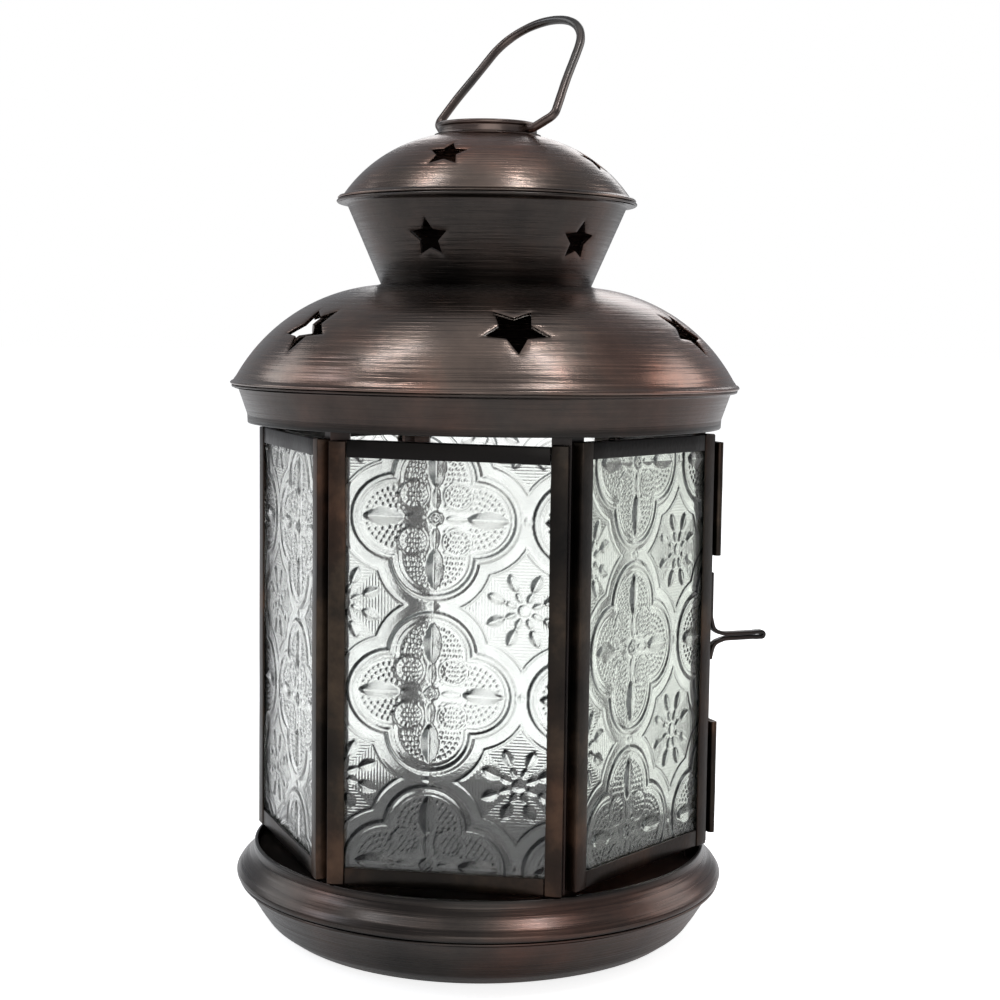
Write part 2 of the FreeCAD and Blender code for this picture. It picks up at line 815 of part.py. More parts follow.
def make_vent_collar():
    """Short open tube on the cap with a foot flange, a rolled rim and two holes for the bail."""
    flat_off = size("cap_flat_radius") - size("cap_centre_radius")
    curve = size("cap_round")
    low = size("cap_centre_rise") + root(curve * curve - flat_off * flat_off)
    foot = low + size("collar_foot_thick")
    outer = size("collar_radius")
    bore = outer - gauge
    top = size("collar_top")
    roll = size("collar_roll")
    corners = (
        (bore, low),
        (size("collar_foot_radius"), low),
        (size("collar_foot_radius"), foot),
        (outer, foot),
        (outer, top - roll * 2),
        (outer, top),
        (bore, top),
    )
    body = spun("vent_collar", corners, {4: (roll, 1)})
    hole = add_sketch(body, "vent_collar_hole", "XZ_Plane")
    hole_radius = size("wire_radius") + size("bail_clearance")
    circle = Part.Circle(
        FreeCAD.Vector(0, size("bail_rise").value, 0), FreeCAD.Vector(0, 0, 1), hole_radius.value
    )
    edge = hole.addGeometry(circle, False)
    drive(hole, Sketcher.Constraint("Radius", edge, hole_radius.value), hole_radius)
    pin_point(hole, edge, 3, as_size(0), size("bail_rise"))
    pocket(body, hole, "vent_collar_cross_hole", outer * 3, both_ways=True)
    face_azimuth(body, size("bail_azimuth").value)
    return body


# ---------------------------------------------------------------- bail handle


def bent_path(sketch, spots, bends):
    """An open run of straight lines through the spots with a tangent arc at each inner spot."""
    places = [FreeCAD.Vector(x.value, y.value, 0) for x, y in spots]
    starts = [places[0]]
    ends = []
    arcs = []
    for number in range(1, len(places) - 1):
        back = places[number - 1].sub(places[number]).normalize()
        onward = places[number + 1].sub(places[number]).normalize()
        half_turn = (math.pi - back.getAngle(onward)) / 2
        trim = bends[number - 1].value * math.tan(half_turn)
        enter = places[number].add(FreeCAD.Vector(back).multiply(trim))
        leave = places[number].add(FreeCAD.Vector(onward).multiply(trim))
        between = FreeCAD.Vector(back).add(onward).normalize()
        gap = bends[number - 1].value * (1 / math.cos(half_turn) - 1)
        middle = places[number].add(between.multiply(gap))
        ends.append(enter)
        starts.append(leave)
        arcs.append(Part.Arc(enter, middle, leave))
    ends.append(places[-1])
    lines = [sketch.addGeometry(Part.LineSegment(a, b), False) for a, b in zip(starts, ends)]
    curves = [sketch.addGeometry(arc, False) for arc in arcs]
    for number, curve in enumerate(curves):
        enter_end = end_at(sketch, curve, ends[number])
        leave_end = end_at(sketch, curve, starts[number + 1])
        sketch.addConstraint(
            Sketcher.Constraint("Tangent", lines[number], 2, curve, enter_end)
        )
        sketch.addConstraint(
            Sketcher.Constraint("Tangent", lines[number + 1], 1, curve, leave_end)
        )
        drive(
            sketch, Sketcher.Constraint("Radius", curve, bends[number].value), bends[number]
        )
        corner = sketch.addGeometry(Part.Point(places[number + 1]), True)
        sketch.addConstraint(Sketcher.Constraint("PointOnObject", corner, 1, lines[number]))
        sketch.addConstraint(Sketcher.Constraint("PointOnObject", corner, 1, lines[number + 1]))
        pin_point(sketch, corner, 1, *spots[number + 1])
    pin_point(sketch, lines[0], 1, *spots[0])
    pin_point(sketch, lines[-1], 2, *spots[-1])


def make_bail_handle():
    """Wire loop: two straight ends in the collar's holes, two kinked legs and a round arch."""
    body = new_body("bail_handle")
    spine = add_sketch(body, "bail_handle_spine", "XZ_Plane")
    end = size("bail_end")
    leave = size("bail_exit")
    kink = size("bail_kink")
    kink_rise = size("bail_kink_rise")
    arch = size("bail_arch")
    bend = size("bail_bend")
    level = as_size(0)
    spots = (
        (-end, level),
        (-leave, level),
        (-kink, kink_rise),
        (level, size("bail_apex")),
        (kink, kink_rise),
        (leave, level),
        (end, level),
    )
    bent_path(spine, spots, (bend, bend, arch, bend, bend))
    section = add_sketch(body, "bail_handle_section", "YZ_Plane")
    section.AttachmentOffset = FreeCAD.Placement(
        FreeCAD.Vector(0, 0, -end.value), FreeCAD.Rotation()
    )
    wire = size("wire_radius")
    edge = section.addGeometry(
        Part.Circle(FreeCAD.Vector(0, 0, 0), FreeCAD.Vector(0, 0, 1), wire.value), False
    )
    drive(section, Sketcher.Constraint("Radius", edge, wire.value), wire)
    section.addConstraint(Sketcher.Constraint("Coincident", edge, 3, -1, 1))
    doc.recompute()
    pipe = body.newObject("PartDesign::AdditivePipe", "bail_handle_wire")
    pipe.Profile = section
    pipe.Spine = spine
    doc.recompute()
    turn = FreeCAD.Rotation(FreeCAD.Vector(0, 0, 1), size("bail_azimuth").value - 90)
    lean_over = FreeCAD.Rotation(FreeCAD.Vector(1, 0, 0), -size("bail_tilt").value)
    body.Placement = FreeCAD.Placement(
        FreeCAD.Vector(0, 0, size("bail_rise").value), turn.multiply(lean_over)
    )
    return body


# ---------------------------------------------------------------- assembly

pieces = [
    make_base_dish(),
    make_base_ring(),
    make_floor_plate(),
    make_candle_cup(),
    make_cup_rivet(),
]

for side, side_azimuth in enumerate(PANEL_AZIMUTHS):
    pieces.append(make_corner_post(side + 1, side_azimuth + 30))

for side, side_name in enumerate(SIDE_NAMES):
    is_door = side == DOOR_SIDE
    frame_label = "door_frame" if is_door else "frame_" + side_name
    pane_label = "door_pane" if is_door else "pane_" + side_name
    depth = size("door_deep") if is_door else size("frame_deep")
    pieces.append(make_frame(frame_label, PANEL_AZIMUTHS[side], depth))
    pieces.append(make_pane(pane_label, PANEL_AZIMUTHS[side], depth))

for level in ("low", "high"):
    name = "lower" if level == "low" else "upper"
    bottom = size("hinge_" + level)
    above = bottom + size("knuckle_tall") + size("knuckle_gap")
    no_room = as_size(0)
    pieces.append(
        make_hinge_leaf("fixed_leaf_" + name, PANEL_AZIMUTHS[HINGE_SIDE], 1, bottom, no_room)
    )
    pieces.append(
        make_hinge_leaf(
            "door_leaf_" + name, PANEL_AZIMUTHS[DOOR_SIDE], -1, above, size("pin_clearance")
        )
    )
    pieces.append(make_hinge_pin("hinge_pin_" + name, bottom))
    pieces.append(make_door_lip("door_lip_" + name, size("lip_" + level)))

pieces.append(make_door_pull())
pieces.append(make_head_ring())
pieces.append(make_skirt_ring())
pieces.append(make_lower_dome())
pieces.append(make_neck_cone())
pieces.append(make_cap_dome())
pieces.append(make_vent_collar())
pieces.append(make_bail_handle())

doc.recompute()

for item in doc.Objects:
    if "Invalid" in item.State or "Error" in item.State:
        raise RuntimeError("%s failed: %s" % (item.Name, item.State))

for piece in pieces:
    shape = piece.Shape
    if shape.isNull() or not shape.isValid() or len(shape.Solids) != 1:
        raise RuntimeError("%s has no single valid solid" % piece.Label)

os.makedirs("parts", exist_ok=True)
for piece in pieces:
    piece.Shape.exportStep("parts/%s.step" % piece.Label)
    print("%-20s %9.1f mm3" % (piece.Label, piece.Shape.Volume))
print(len(pieces), "pieces")
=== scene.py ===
"""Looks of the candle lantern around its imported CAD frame.

Blender 4.5. The scene is in metres, and the shapes below are in millimetres.
"""

import math

import bmesh
import bpy
import numpy as np
from mathutils import Matrix, Vector, geometry, noise


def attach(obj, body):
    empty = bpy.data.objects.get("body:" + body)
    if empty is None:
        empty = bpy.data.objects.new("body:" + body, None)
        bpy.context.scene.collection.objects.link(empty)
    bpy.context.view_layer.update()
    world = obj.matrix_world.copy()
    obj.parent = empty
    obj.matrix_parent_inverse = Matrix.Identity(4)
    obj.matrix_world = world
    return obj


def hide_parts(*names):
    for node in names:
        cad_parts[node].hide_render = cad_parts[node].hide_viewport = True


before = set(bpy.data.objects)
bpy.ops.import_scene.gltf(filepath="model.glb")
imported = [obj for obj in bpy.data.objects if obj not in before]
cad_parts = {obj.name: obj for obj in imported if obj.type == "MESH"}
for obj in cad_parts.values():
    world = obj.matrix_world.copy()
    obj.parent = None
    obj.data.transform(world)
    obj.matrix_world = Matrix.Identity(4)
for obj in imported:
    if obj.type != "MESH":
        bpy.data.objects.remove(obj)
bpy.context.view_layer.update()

MM = 0.001
GAUGE = 0.8
TURNS = 288
DOOR_AZIMUTH = 111.31

# ---------------------------------------------------------------- camera, floor and light

PITCH = 0.091373
ROLL = 0.013261


def make_camera():
    """Camera at the viewing angle, with its small roll."""
    camera = bpy.data.objects.new("camera", bpy.data.cameras.new("camera"))
    bpy.context.scene.collection.objects.link(camera)
    forward = Vector((0, math.cos(PITCH), -math.sin(PITCH)))
    level_up = Vector((0, math.sin(PITCH), math.cos(PITCH)))
    right = Vector((math.cos(ROLL), 0, 0)) + level_up * math.sin(ROLL)
    up = level_up * math.cos(ROLL) - Vector((math.sin(ROLL), 0, 0))
    turn = Matrix((right, up, -forward)).transposed().to_4x4()
    camera.matrix_world = Matrix.Translation((0.00424, -0.46416, 0.1513)) @ turn
    camera.data.sensor_width = 36
    camera.data.lens = 66.24
    camera.data.clip_start = 0.01
    camera.data.clip_end = 60
    bpy.context.scene.camera = camera


def soft_light(name, place, target, size, power, colour=(1, 1, 1)):
    """Large soft lamp that faces the target."""
    data = bpy.data.lights.new(name, "AREA")
    data.shape = "RECTANGLE"
    data.size, data.size_y = size
    data.energy = power
    data.color = colour
    lamp = bpy.data.objects.new(name, data)
    lamp.location = place
    lamp.rotation_euler = (Vector(target) - Vector(place)).to_track_quat("-Z", "Y").to_euler()
    bpy.context.scene.collection.objects.link(lamp)


def make_world():
    """White to look at and through, dimmer in reflections so that dark metal stays dark."""
    bpy.context.scene.view_settings.view_transform = "Standard"
    world = bpy.data.worlds.new("studio")
    bpy.context.scene.world = world
    world.use_nodes = True
    tree = world.node_tree
    tree.nodes.clear()
    out = tree.nodes.new("ShaderNodeOutputWorld")
    mix = tree.nodes.new("ShaderNodeMixShader")
    seen = tree.nodes.new("ShaderNodeBackground")
    seen.inputs["Color"].default_value = (1, 1, 1, 1)
    room = tree.nodes.new("ShaderNodeBackground")
    room.inputs["Color"].default_value = (0.93, 0.95, 1.0, 1)
    room.inputs["Strength"].default_value = 0.3
    path = tree.nodes.new("ShaderNodeLightPath")
    either = tree.nodes.new("ShaderNodeMath")
    either.operation = "MAXIMUM"
    strength = tree.nodes.new("ShaderNodeMath")
    strength.operation = "MULTIPLY_ADD"
    strength.inputs[1].default_value = 0.08
    strength.inputs[2].default_value = 1.0
    tree.links.new(path.outputs["Is Transmission Ray"], strength.inputs[0])
    tree.links.new(strength.outputs[0], seen.inputs["Strength"])
    tree.links.new(path.outputs["Is Camera Ray"], either.inputs[0])
    tree.links.new(path.outputs["Is Transmission Ray"], either.inputs[1])
    tree.links.new(either.outputs[0], mix.inputs[0])
    tree.links.new(room.outputs[0], mix.inputs[1])
    tree.links.new(seen.outputs[0], mix.inputs[2])
    tree.links.new(mix.outputs[0], out.inputs["Surface"])


make_camera()
make_world()
middle = (0, 0, 0.11)
soft_light("lamp_left", (-0.62, -0.1, 1.3), middle, (0.08, 0.42), 2.2, (0.94, 0.97, 1.0))
soft_light("lamp_right", (0.4, -0.32, 1.32), middle, (0.07, 0.4), 2.8, (0.96, 0.98, 1.0))
soft_light("window_left", (-1.3, -0.15, 0.95), middle, (0.35, 0.5), 2.5, (0.8, 0.88, 1.0))
soft_light("ceiling", (0.0, -0.3, 2.4), middle, (2.2, 2.2), 7, (1.0, 0.98, 0.96))
soft_light("side_left", (-1.5, 0.55, 0.85), middle, (1.0, 0.8), 4.5, (0.95, 0.98, 1.0))
soft_light("side_right", (1.5, 0.55, 0.85), middle, (1.0, 0.8), 5.5, (1.0, 0.98, 0.97))
soft_light("room_front", (0.2, -1.9, 0.5), middle, (1.6, 0.9), 7, (1.0, 0.98, 0.95))
soft_light("room_back", (0.2, 1.7, 0.9), middle, (1.0, 0.6), 3)

# ---------------------------------------------------------------- materials


def new_material(name):
    material = bpy.data.materials.new(name)
    material.use_nodes = True
    tree = material.node_tree
    return material, tree, tree.nodes["Principled BSDF"]


def add_node(tree, kind, **settings):
    node = tree.nodes.new(kind)
    for key, value in settings.items():
        setattr(node, key, value)
    return node


def colour_ramp(tree, factor, stops):
    ramp = add_node(tree, "ShaderNodeValToRGB")
    elements = ramp.color_ramp.elements
    while len(elements) < len(stops):
        elements.new(0.5)
    for element, (spot, colour) in zip(elements, stops):
        element.position = spot
        element.color = (*colour, 1)
    tree.links.new(factor, ramp.inputs["Fac"])
    return ramp.outputs["Color"]


def value_range(tree, value, low, high, to_low, to_high):
    node = add_node(tree, "ShaderNodeMapRange")
    node.inputs["From Min"].default_value = low
    node.inputs["From Max"].default_value = high
    node.inputs["To Min"].default_value = to_low
    node.inputs["To Max"].default_value = to_high
    tree.links.new(value, node.inputs["Value"])
    return node.outputs["Result"]


def noise_of(tree, vector, scale, detail=3.0, roughness=0.55, stretch=None):
    """Noise on a coordinate, stretched first where one is given."""
    if stretch:
        mapping = add_node(tree, "ShaderNodeMapping")
        mapping.inputs["Scale"].default_value = stretch
        tree.links.new(vector, mapping.inputs["Vector"])
        vector = mapping.outputs["Vector"]
    node = add_node(tree, "ShaderNodeTexNoise")
    node.inputs["Scale"].default_value = scale
    node.inputs["Detail"].default_value = detail
    node.inputs["Roughness"].default_value = roughness
    tree.links.new(vector, node.inputs["Vector"])
    return node.outputs["Fac"]


def math_node(tree, operation, first, second):
    node = add_node(tree, "ShaderNodeMath", operation=operation)
    for socket, value in zip(node.inputs, (first, second)):
        if isinstance(value, (int, float)):
            socket.default_value = value
        else:
            tree.links.new(value, socket)
    return node.outputs["Value"]


def bronze(name, dark, mid, red, rough, lines, grain=0.25, spun=True, coat=0.35):
    """Darkened bronze: mottled brown with reddish places, turned lines on spun pieces, and painted shade,
    near black, where the point attribute says.
    """
    material, tree, shader = new_material(name)
    place = add_node(tree, "ShaderNodeTexCoord").outputs["Object"]
    mottle = noise_of(tree, place, 46, 5.0, 0.62)
    patches = noise_of(tree, place, 17, 3.0, 0.5)
    colour = colour_ramp(tree, mottle, ((0.28, dark), (0.52, mid), (0.78, red)))
    warm = add_node(tree, "ShaderNodeMix", data_type="RGBA", blend_type="MULTIPLY")
    warm.inputs["Factor"].default_value = 1.0
    tree.links.new(colour, warm.inputs[6])
    tint = colour_ramp(
        tree, patches, ((0.32, (0.6, 0.6, 0.62)), (0.48, (1.0, 1.0, 1.0)), (0.66, (1.5, 1.02, 0.9)))
    )
    tree.links.new(tint, warm.inputs[7])
    base = warm.outputs[2]
    fine = noise_of(tree, place, 900, 2.0, 0.5)
    relief = math_node(tree, "MULTIPLY", fine, grain)
    if spun:
        turned = add_node(tree, "ShaderNodeAttribute", attribute_name="turned").outputs["Vector"]
        broad = noise_of(tree, turned, 1.0, 2.0, 0.6, (0.75, 0.018, 0.018))
        narrow = noise_of(tree, turned, 1.0, 2.0, 0.6, (2.2, 0.03, 0.03))
        ring_relief = math_node(tree, "ADD", broad, math_node(tree, "MULTIPLY", narrow, 0.5))
        relief = math_node(tree, "ADD", relief, math_node(tree, "MULTIPLY", ring_relief, lines))
        streak = add_node(tree, "ShaderNodeMix", data_type="RGBA", blend_type="MULTIPLY")
        streak.inputs["Factor"].default_value = 1.0
        tree.links.new(base, streak.inputs[6])
        shade = colour_ramp(tree, narrow, ((0.25, (0.84, 0.84, 0.85)), (0.75, (1.14, 1.13, 1.12))))
        tree.links.new(shade, streak.inputs[7])
        # painted shade: the point attribute mixes the colour to near black, broken up by the turned-line
        # noise
        painted_shade = add_node(tree, "ShaderNodeAttribute", attribute_name="painted_shade").outputs["Fac"]
        patchy_shade = math_node(tree, "MULTIPLY", painted_shade, value_range(tree, broad, 0.3, 0.7, 1.25, 0.55))
        shade_mix = add_node(tree, "ShaderNodeMix", data_type="RGBA", blend_type="MIX")
        tree.links.new(math_node(tree, "MINIMUM", patchy_shade, 0.92), shade_mix.inputs["Factor"])
        tree.links.new(streak.outputs[2], shade_mix.inputs[6])
        shade_mix.inputs[7].default_value = (0.012, 0.011, 0.01, 1)
        base = shade_mix.outputs[2]
        wear = value_range(tree, narrow, 0.3, 0.7, rough - 0.05, rough + 0.09)
    else:
        # painted shade: the point attribute mixes the colour to near black
        shade_amount = add_node(tree, "ShaderNodeAttribute", attribute_name="painted_shade").outputs["Fac"]
        shade_mix = add_node(tree, "ShaderNodeMix", data_type="RGBA", blend_type="MIX")
        tree.links.new(shade_amount, shade_mix.inputs["Factor"])
        tree.links.new(base, shade_mix.inputs[6])
        shade_mix.inputs[7].default_value = (0.01, 0.009, 0.0085, 1)
        base = shade_mix.outputs[2]
        wear = value_range(tree, mottle, 0.3, 0.7, rough - 0.06, rough + 0.1)
    tree.links.new(base, shader.inputs["Base Color"])
    tree.links.new(wear, shader.inputs["Roughness"])
    bump = add_node(tree, "ShaderNodeBump")
    bump.inputs["Strength"].default_value = 0.55
    bump.inputs["Distance"].default_value = 0.00014
    tree.links.new(relief, bump.inputs["Height"])
    tree.links.new(bump.outputs["Normal"], shader.inputs["Normal"])
    shader.inputs["Metallic"].default_value = 1.0
    shader.inputs["Coat Weight"].default_value = coat
    shader.inputs["Coat Roughness"].default_value = 0.22
    return material


# painted light and shade: one bronze in two copies, a lighter one for the dome and cap, which face up into
# the light, and a darker, rougher one for the base, skirt and neck, which face down into shade
SPUN_LIT = bronze("spun_bronze", (0.088, 0.069, 0.059), (0.155, 0.116, 0.096), (0.26, 0.155, 0.118), 0.22, 1.9)
DULL_AND_SHADED = bronze("dull_and_shaded_bronze", (0.032, 0.027, 0.024), (0.056, 0.045, 0.039), (0.095, 0.064, 0.052), 0.29, 2.0)
FOLDED = bronze(
    "folded_bronze",
    (0.009, 0.008, 0.0075),
    (0.034, 0.026, 0.02),
    (0.13, 0.088, 0.058),
    0.36,
    0,
    grain=0.6,
    spun=False,
    coat=0.15,
)
SILVERED = bronze(
    "worn_collar", (0.06, 0.062, 0.06), (0.11, 0.112, 0.108), (0.15, 0.145, 0.138), 0.3, 1.2, coat=0.2
)
SHADED = bronze(
    "shaded_bronze", (0.02, 0.017, 0.016), (0.035, 0.029, 0.027), (0.06, 0.045, 0.038), 0.42, 0, 0.5, False
)
# painted shade: the sheet inside the lantern is coloured near black, and the dark specular tint dims its
# reflections, for the shade inside
INNER = bronze(
    "inner_sheet", (0.018, 0.016, 0.015), (0.032, 0.028, 0.026), (0.055, 0.044, 0.038), 0.6, 0.6, coat=0.0
)
INNER.node_tree.nodes["Principled BSDF"].inputs["Specular Tint"].default_value = (0.12, 0.11, 0.1, 1)
WIRE = bronze(
    "bail_wire", (0.05, 0.048, 0.046), (0.09, 0.086, 0.082), (0.13, 0.12, 0.112), 0.32, 0, 0.4, False, 0.2
)

# ---------------------------------------------------------------- mesh building


def finish_piece(name, mesh, material, body, nodes):
    """Links a finished mesh, gives it its material, and says what it rides on and stands for."""
    piece = bpy.data.objects.new(name, mesh)
    bpy.context.scene.collection.objects.link(piece)
    mesh.materials.append(material)
    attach(piece, body)
    if nodes:
        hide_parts(*nodes)
    return piece


def mesh_from(name, points, faces, smooth=True):
    """Mesh from points in millimetres."""
    mesh = bpy.data.meshes.new(name)
    mesh.from_pydata([tuple(p) for p in (np.asarray(points) * MM).tolist()], [], faces)
    mesh.update()
    if smooth:
        mesh.shade_smooth()
    return mesh


def loft_faces(rows, size):
    """Quads between each closed section of a loft and the next."""
    faces = []
    for row in range(rows):
        here, beyond = row * size, (row + 1) * size
        for number in range(size):
            after = (number + 1) % size
            faces.append((here + number, here + after, beyond + after, beyond + number))
    return faces


def set_material(node_name, material):
    """Gives a CAD node's own mesh a material."""
    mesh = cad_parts[node_name].data
    mesh.materials.clear()
    mesh.materials.append(material)


def clean_mesh(mesh, merge=1e-7):
    """Merges doubled points and makes the faces' sides agree."""
    work = bmesh.new()
    work.from_mesh(mesh)
    bmesh.ops.remove_doubles(work, verts=work.verts, dist=merge)
    bmesh.ops.recalc_face_normals(work, faces=work.faces)
    work.to_mesh(mesh)
    work.free()
    mesh.shade_smooth()


def arc_points(centre, radius, start, stop, step=1.0):
    """Points on an arc in the (radius, height) plane, angles in degrees from outward."""
    count = max(2, int(abs(math.radians(stop - start)) * radius / step) + 1)
    angles = np.radians(np.linspace(start, stop, count + 1))
    return [(centre[0] + radius * math.cos(a), centre[1] + radius * math.sin(a)) for a in angles]


def rounded(corners, radii, step=0.25):
    """Polyline through the corners with each inner corner filleted."""
    corners = [np.array(c, float) for c in corners]
    path = [corners[0]]
    for before, spot, after, radius in zip(corners, corners[1:], corners[2:], radii):
        back = (before - spot) / np.linalg.norm(before - spot)
        onward = (after - spot) / np.linalg.norm(after - spot)
        cosine = float(np.clip(back @ onward, -1, 1))
        half = math.acos(cosine) / 2
        if radius <= 0 or half > math.radians(89):
            path.append(spot)
            continue
        trim = min(
            radius / math.tan(half),
            0.49 * np.linalg.norm(before - spot),
            0.49 * np.linalg.norm(after - spot),
        )
        enter, leave = spot + back * trim, spot + onward * trim
        count = max(3, int(trim * 2 / step))
        for share in np.linspace(0, 1, count + 1):
            path.append((1 - share) ** 2 * enter + 2 * share * (1 - share) * spot + share**2 * leave)
    path.append(corners[-1])
    return path


def resample(path, step):
    """The same line with no run longer than the step."""
    path = [np.array(p, float) for p in path]
    out = [path[0]]
    for a, b in zip(path, path[1:]):
        length = np.linalg.norm(b - a)
        if length < 1e-6:
            continue
        parts = max(1, math.ceil(length / step))
        for part in range(1, parts + 1):
            out.append(a + (b - a) * part / parts)
    return np.array(out)


def star_outline(tip, valley, down, step=0.45):
    """Star as a closed run of points about its own centre."""
    first = -90 if down else 90
    corners = []
    for number in range(10):
        angle = math.radians(first + 36 * number)
        reach = valley if number % 2 else tip
        corners.append(np.array((reach * math.cos(angle), reach * math.sin(angle))))
    run = []
    for a, b in zip(corners, corners[1:] + corners[:1]):
        parts = max(2, math.ceil(np.linalg.norm(b - a) / step))
        run.extend(a + (b - a) * part / parts for part in range(parts))
    return np.array(run)


def distance_to_run(points, run):
    """Distance from each point to a closed run, and whether the point is inside it."""
    starts, ends = run, np.roll(run, -1, axis=0)
    best = np.full(len(points), 1e9)
    inside = np.zeros(len(points), bool)
    for a, b in zip(starts, ends):
        along = b - a
        share = np.clip(((points - a) @ along) / (along @ along), 0, 1)
        gap = points - (a + share[:, None] * along)
        best = np.minimum(best, np.hypot(gap[:, 0], gap[:, 1]))
        crosses = (a[1] > points[:, 1]) != (b[1] > points[:, 1])
        if a[1] != b[1]:
            at = a[0] + (points[:, 1] - a[1]) * along[0] / along[1]
            inside ^= crosses & (points[:, 0] < at)
    return best, inside


def hand_wobble(radius, turn, rise, seed, amount):
    """Small unevenness of hand-spun sheet, in millimetres."""
    spot = Vector((math.cos(turn) * 1.3, math.sin(turn) * 1.3, rise / 34 + seed * 7.1))
    return amount * noise.noise(spot) * min(1.0, radius / 20)


def shell(
    name, path, material, body, nodes, stars=None, seed=0, wobble=0.22, step=1.1, thick=GAUGE, painted_shade=()
):
    """Spun sheet: the line is the outer face, turned round the axis, with a ring of stars cut out."""
    line = resample(path, step)
    runs = np.linalg.norm(np.diff(line, axis=0), axis=1)
    along = np.concatenate([[0], np.cumsum(runs)])
    turns = np.linspace(0, 2 * math.pi, TURNS + 1)
    flat, faces = [], []
    band = None
    if stars:
        gap = stars["tip"] + 2.5
        order = np.argsort(line[:, 1])
        centre = float(np.interp(stars["rise"], line[order, 1], along[order]))
        low = int(np.searchsorted(along, centre - gap))
        high = int(np.searchsorted(along, centre + gap))
        low, high = max(low, 0), min(high, len(along) - 1)
        band = (low, high)
    rows = [i for i in range(len(along) - 1) if not band or i < band[0] or i >= band[1]]
    count = 0
    for row in rows:
        for column in range(TURNS):
            quad = [(turns[column], along[row]), (turns[column + 1], along[row])]
            quad += [(turns[column + 1], along[row + 1]), (turns[column], along[row + 1])]
            flat.extend(quad)
            faces.append((count, count + 1, count + 2, count + 3))
            count += 4
    dips = np.zeros(len(flat))
    if stars:
        radius_here = float(np.interp(centre, along, line[:, 0]))
        outline = star_outline(stars["tip"], stars["valley"], stars["down"])
        grid_rows = along[band[0] : band[1] + 1]
        grid = np.array([(t * radius_here, s) for s in grid_rows for t in turns])
        edge_rows = np.repeat(np.arange(len(grid_rows)), len(turns))
        edge_columns = np.tile(np.arange(len(turns)), len(grid_rows))
        rim = (edge_rows == 0) | (edge_rows == len(grid_rows) - 1)
        rim |= (edge_columns == 0) | (edge_columns == len(turns) - 1)
        keep_point = np.ones(len(grid), bool)
        star_runs = []
        slope = 1.0 if line[band[1], 1] > line[band[0], 1] else -1.0
        for number in range(stars["count"]):
            azimuth = math.radians(stars["azimuth"] + 360 * number / stars["count"])
            turn = (azimuth - math.pi / 2) % (2 * math.pi)
            run = np.column_stack(
                [turn * radius_here + outline[:, 0], centre + slope * outline[:, 1]]
            )
            star_runs.append(run)
            near, inside = distance_to_run(grid, run)
            keep_point &= rim | ((near > 0.35) & ~inside)
        extra = []
        for run in star_runs:
            middle_spot = run.mean(axis=0)
            for spread in (0.45, 1.0):
                away = run - middle_spot
                ring = run + away / np.linalg.norm(away, axis=1)[:, None] * spread
                near, inside = distance_to_run(ring, run)
                extra.extend(ring[(near > 0.3) & ~inside])
        points = list(grid[keep_point]) + extra
        edges = []
        for run in star_runs:
            first = len(points)
            points.extend(run)
            edges.extend((first + k, first + (k + 1) % len(run)) for k in range(len(run)))
        made = geometry.delaunay_2d_cdt([Vector(p) for p in points], edges, [], 0, 1e-6)
        spots = np.array([tuple(v) for v in made[0]])
        triangles = np.array([f for f in made[2] if len(f) == 3])
        centres = spots[triangles].mean(axis=1)
        shown = np.ones(len(triangles), bool)
        near_star = np.full(len(spots), 1e9)
        for run in star_runs:
            shown &= ~distance_to_run(centres, run)[1]
            near_star = np.minimum(near_star, distance_to_run(spots, run)[0])
        flat.extend((s[0] / radius_here, s[1]) for s in spots)
        faces.extend(tuple(int(k) + count for k in f) for f in triangles[shown])
        dips = np.concatenate([dips, 0.13 * np.exp(-((near_star / 0.6) ** 2))])
    flat = np.array(flat)
    radii = np.interp(flat[:, 1], along, line[:, 0])
    heights = np.interp(flat[:, 1], along, line[:, 1])
    tangent = np.gradient(line, along, axis=0)
    tangent /= np.linalg.norm(tangent, axis=1)[:, None]
    # the line runs so that the outer side is on its right
    normal_r = np.interp(flat[:, 1], along, tangent[:, 1])
    normal_z = np.interp(flat[:, 1], along, -tangent[:, 0])
    uneven = [hand_wobble(r, t, z, seed, wobble) for r, t, z in zip(radii, flat[:, 0], heights)]
    push = np.array(uneven) - dips
    radii = radii + normal_r * push
    heights = heights + normal_z * push * (heights > 0.5)
    points = np.column_stack([radii * np.cos(flat[:, 0]), radii * np.sin(flat[:, 0]), heights])
    mesh = mesh_from(name, points, faces)
    store = mesh.attributes.new("turned", "FLOAT_VECTOR", "POINT")
    spin = np.column_stack([flat[:, 1], 60 * np.cos(flat[:, 0]), 60 * np.sin(flat[:, 0])])
    store.data.foreach_set("vector", spin.astype(np.float32).ravel())
    # painted shade: bands of near black at the given heights, where creases and the gaps between parts fall
    # in shade
    shade_amount = np.zeros(len(flat))
    for rise, spread in painted_shade:
        shade_amount = np.maximum(shade_amount, np.exp(-(((heights - rise) / spread) ** 2)))
    store = mesh.attributes.new("painted_shade", "FLOAT", "POINT")
    store.data.foreach_set("value", shade_amount.astype(np.float32))
    clean_mesh(mesh, 2e-6)
    piece = finish_piece(name, mesh, material, body, nodes)
    sheet = piece.modifiers.new("sheet", "SOLIDIFY")
    sheet.thickness = thick * MM
    sheet.offset = -1
    edge = piece.modifiers.new("edge", "BEVEL")
    edge.width = 0.14 * MM
    edge.segments = 2
    edge.limit_method = "ANGLE"
    edge.angle_limit = math.radians(50)
    return piece


# ---------------------------------------------------------------- spun shells

DOME_CENTRE, DOME_RADIUS = (23.3, 118.3), 44.2
CAP_CENTRE, CAP_RADIUS = (6.86, 164.83), 35.03


def rise_on_arc(centre, radius, angle):
    """Height of a spot on an arc, from its angle in degrees above the level."""
    return centre[1] + radius * math.sin(math.radians(angle))


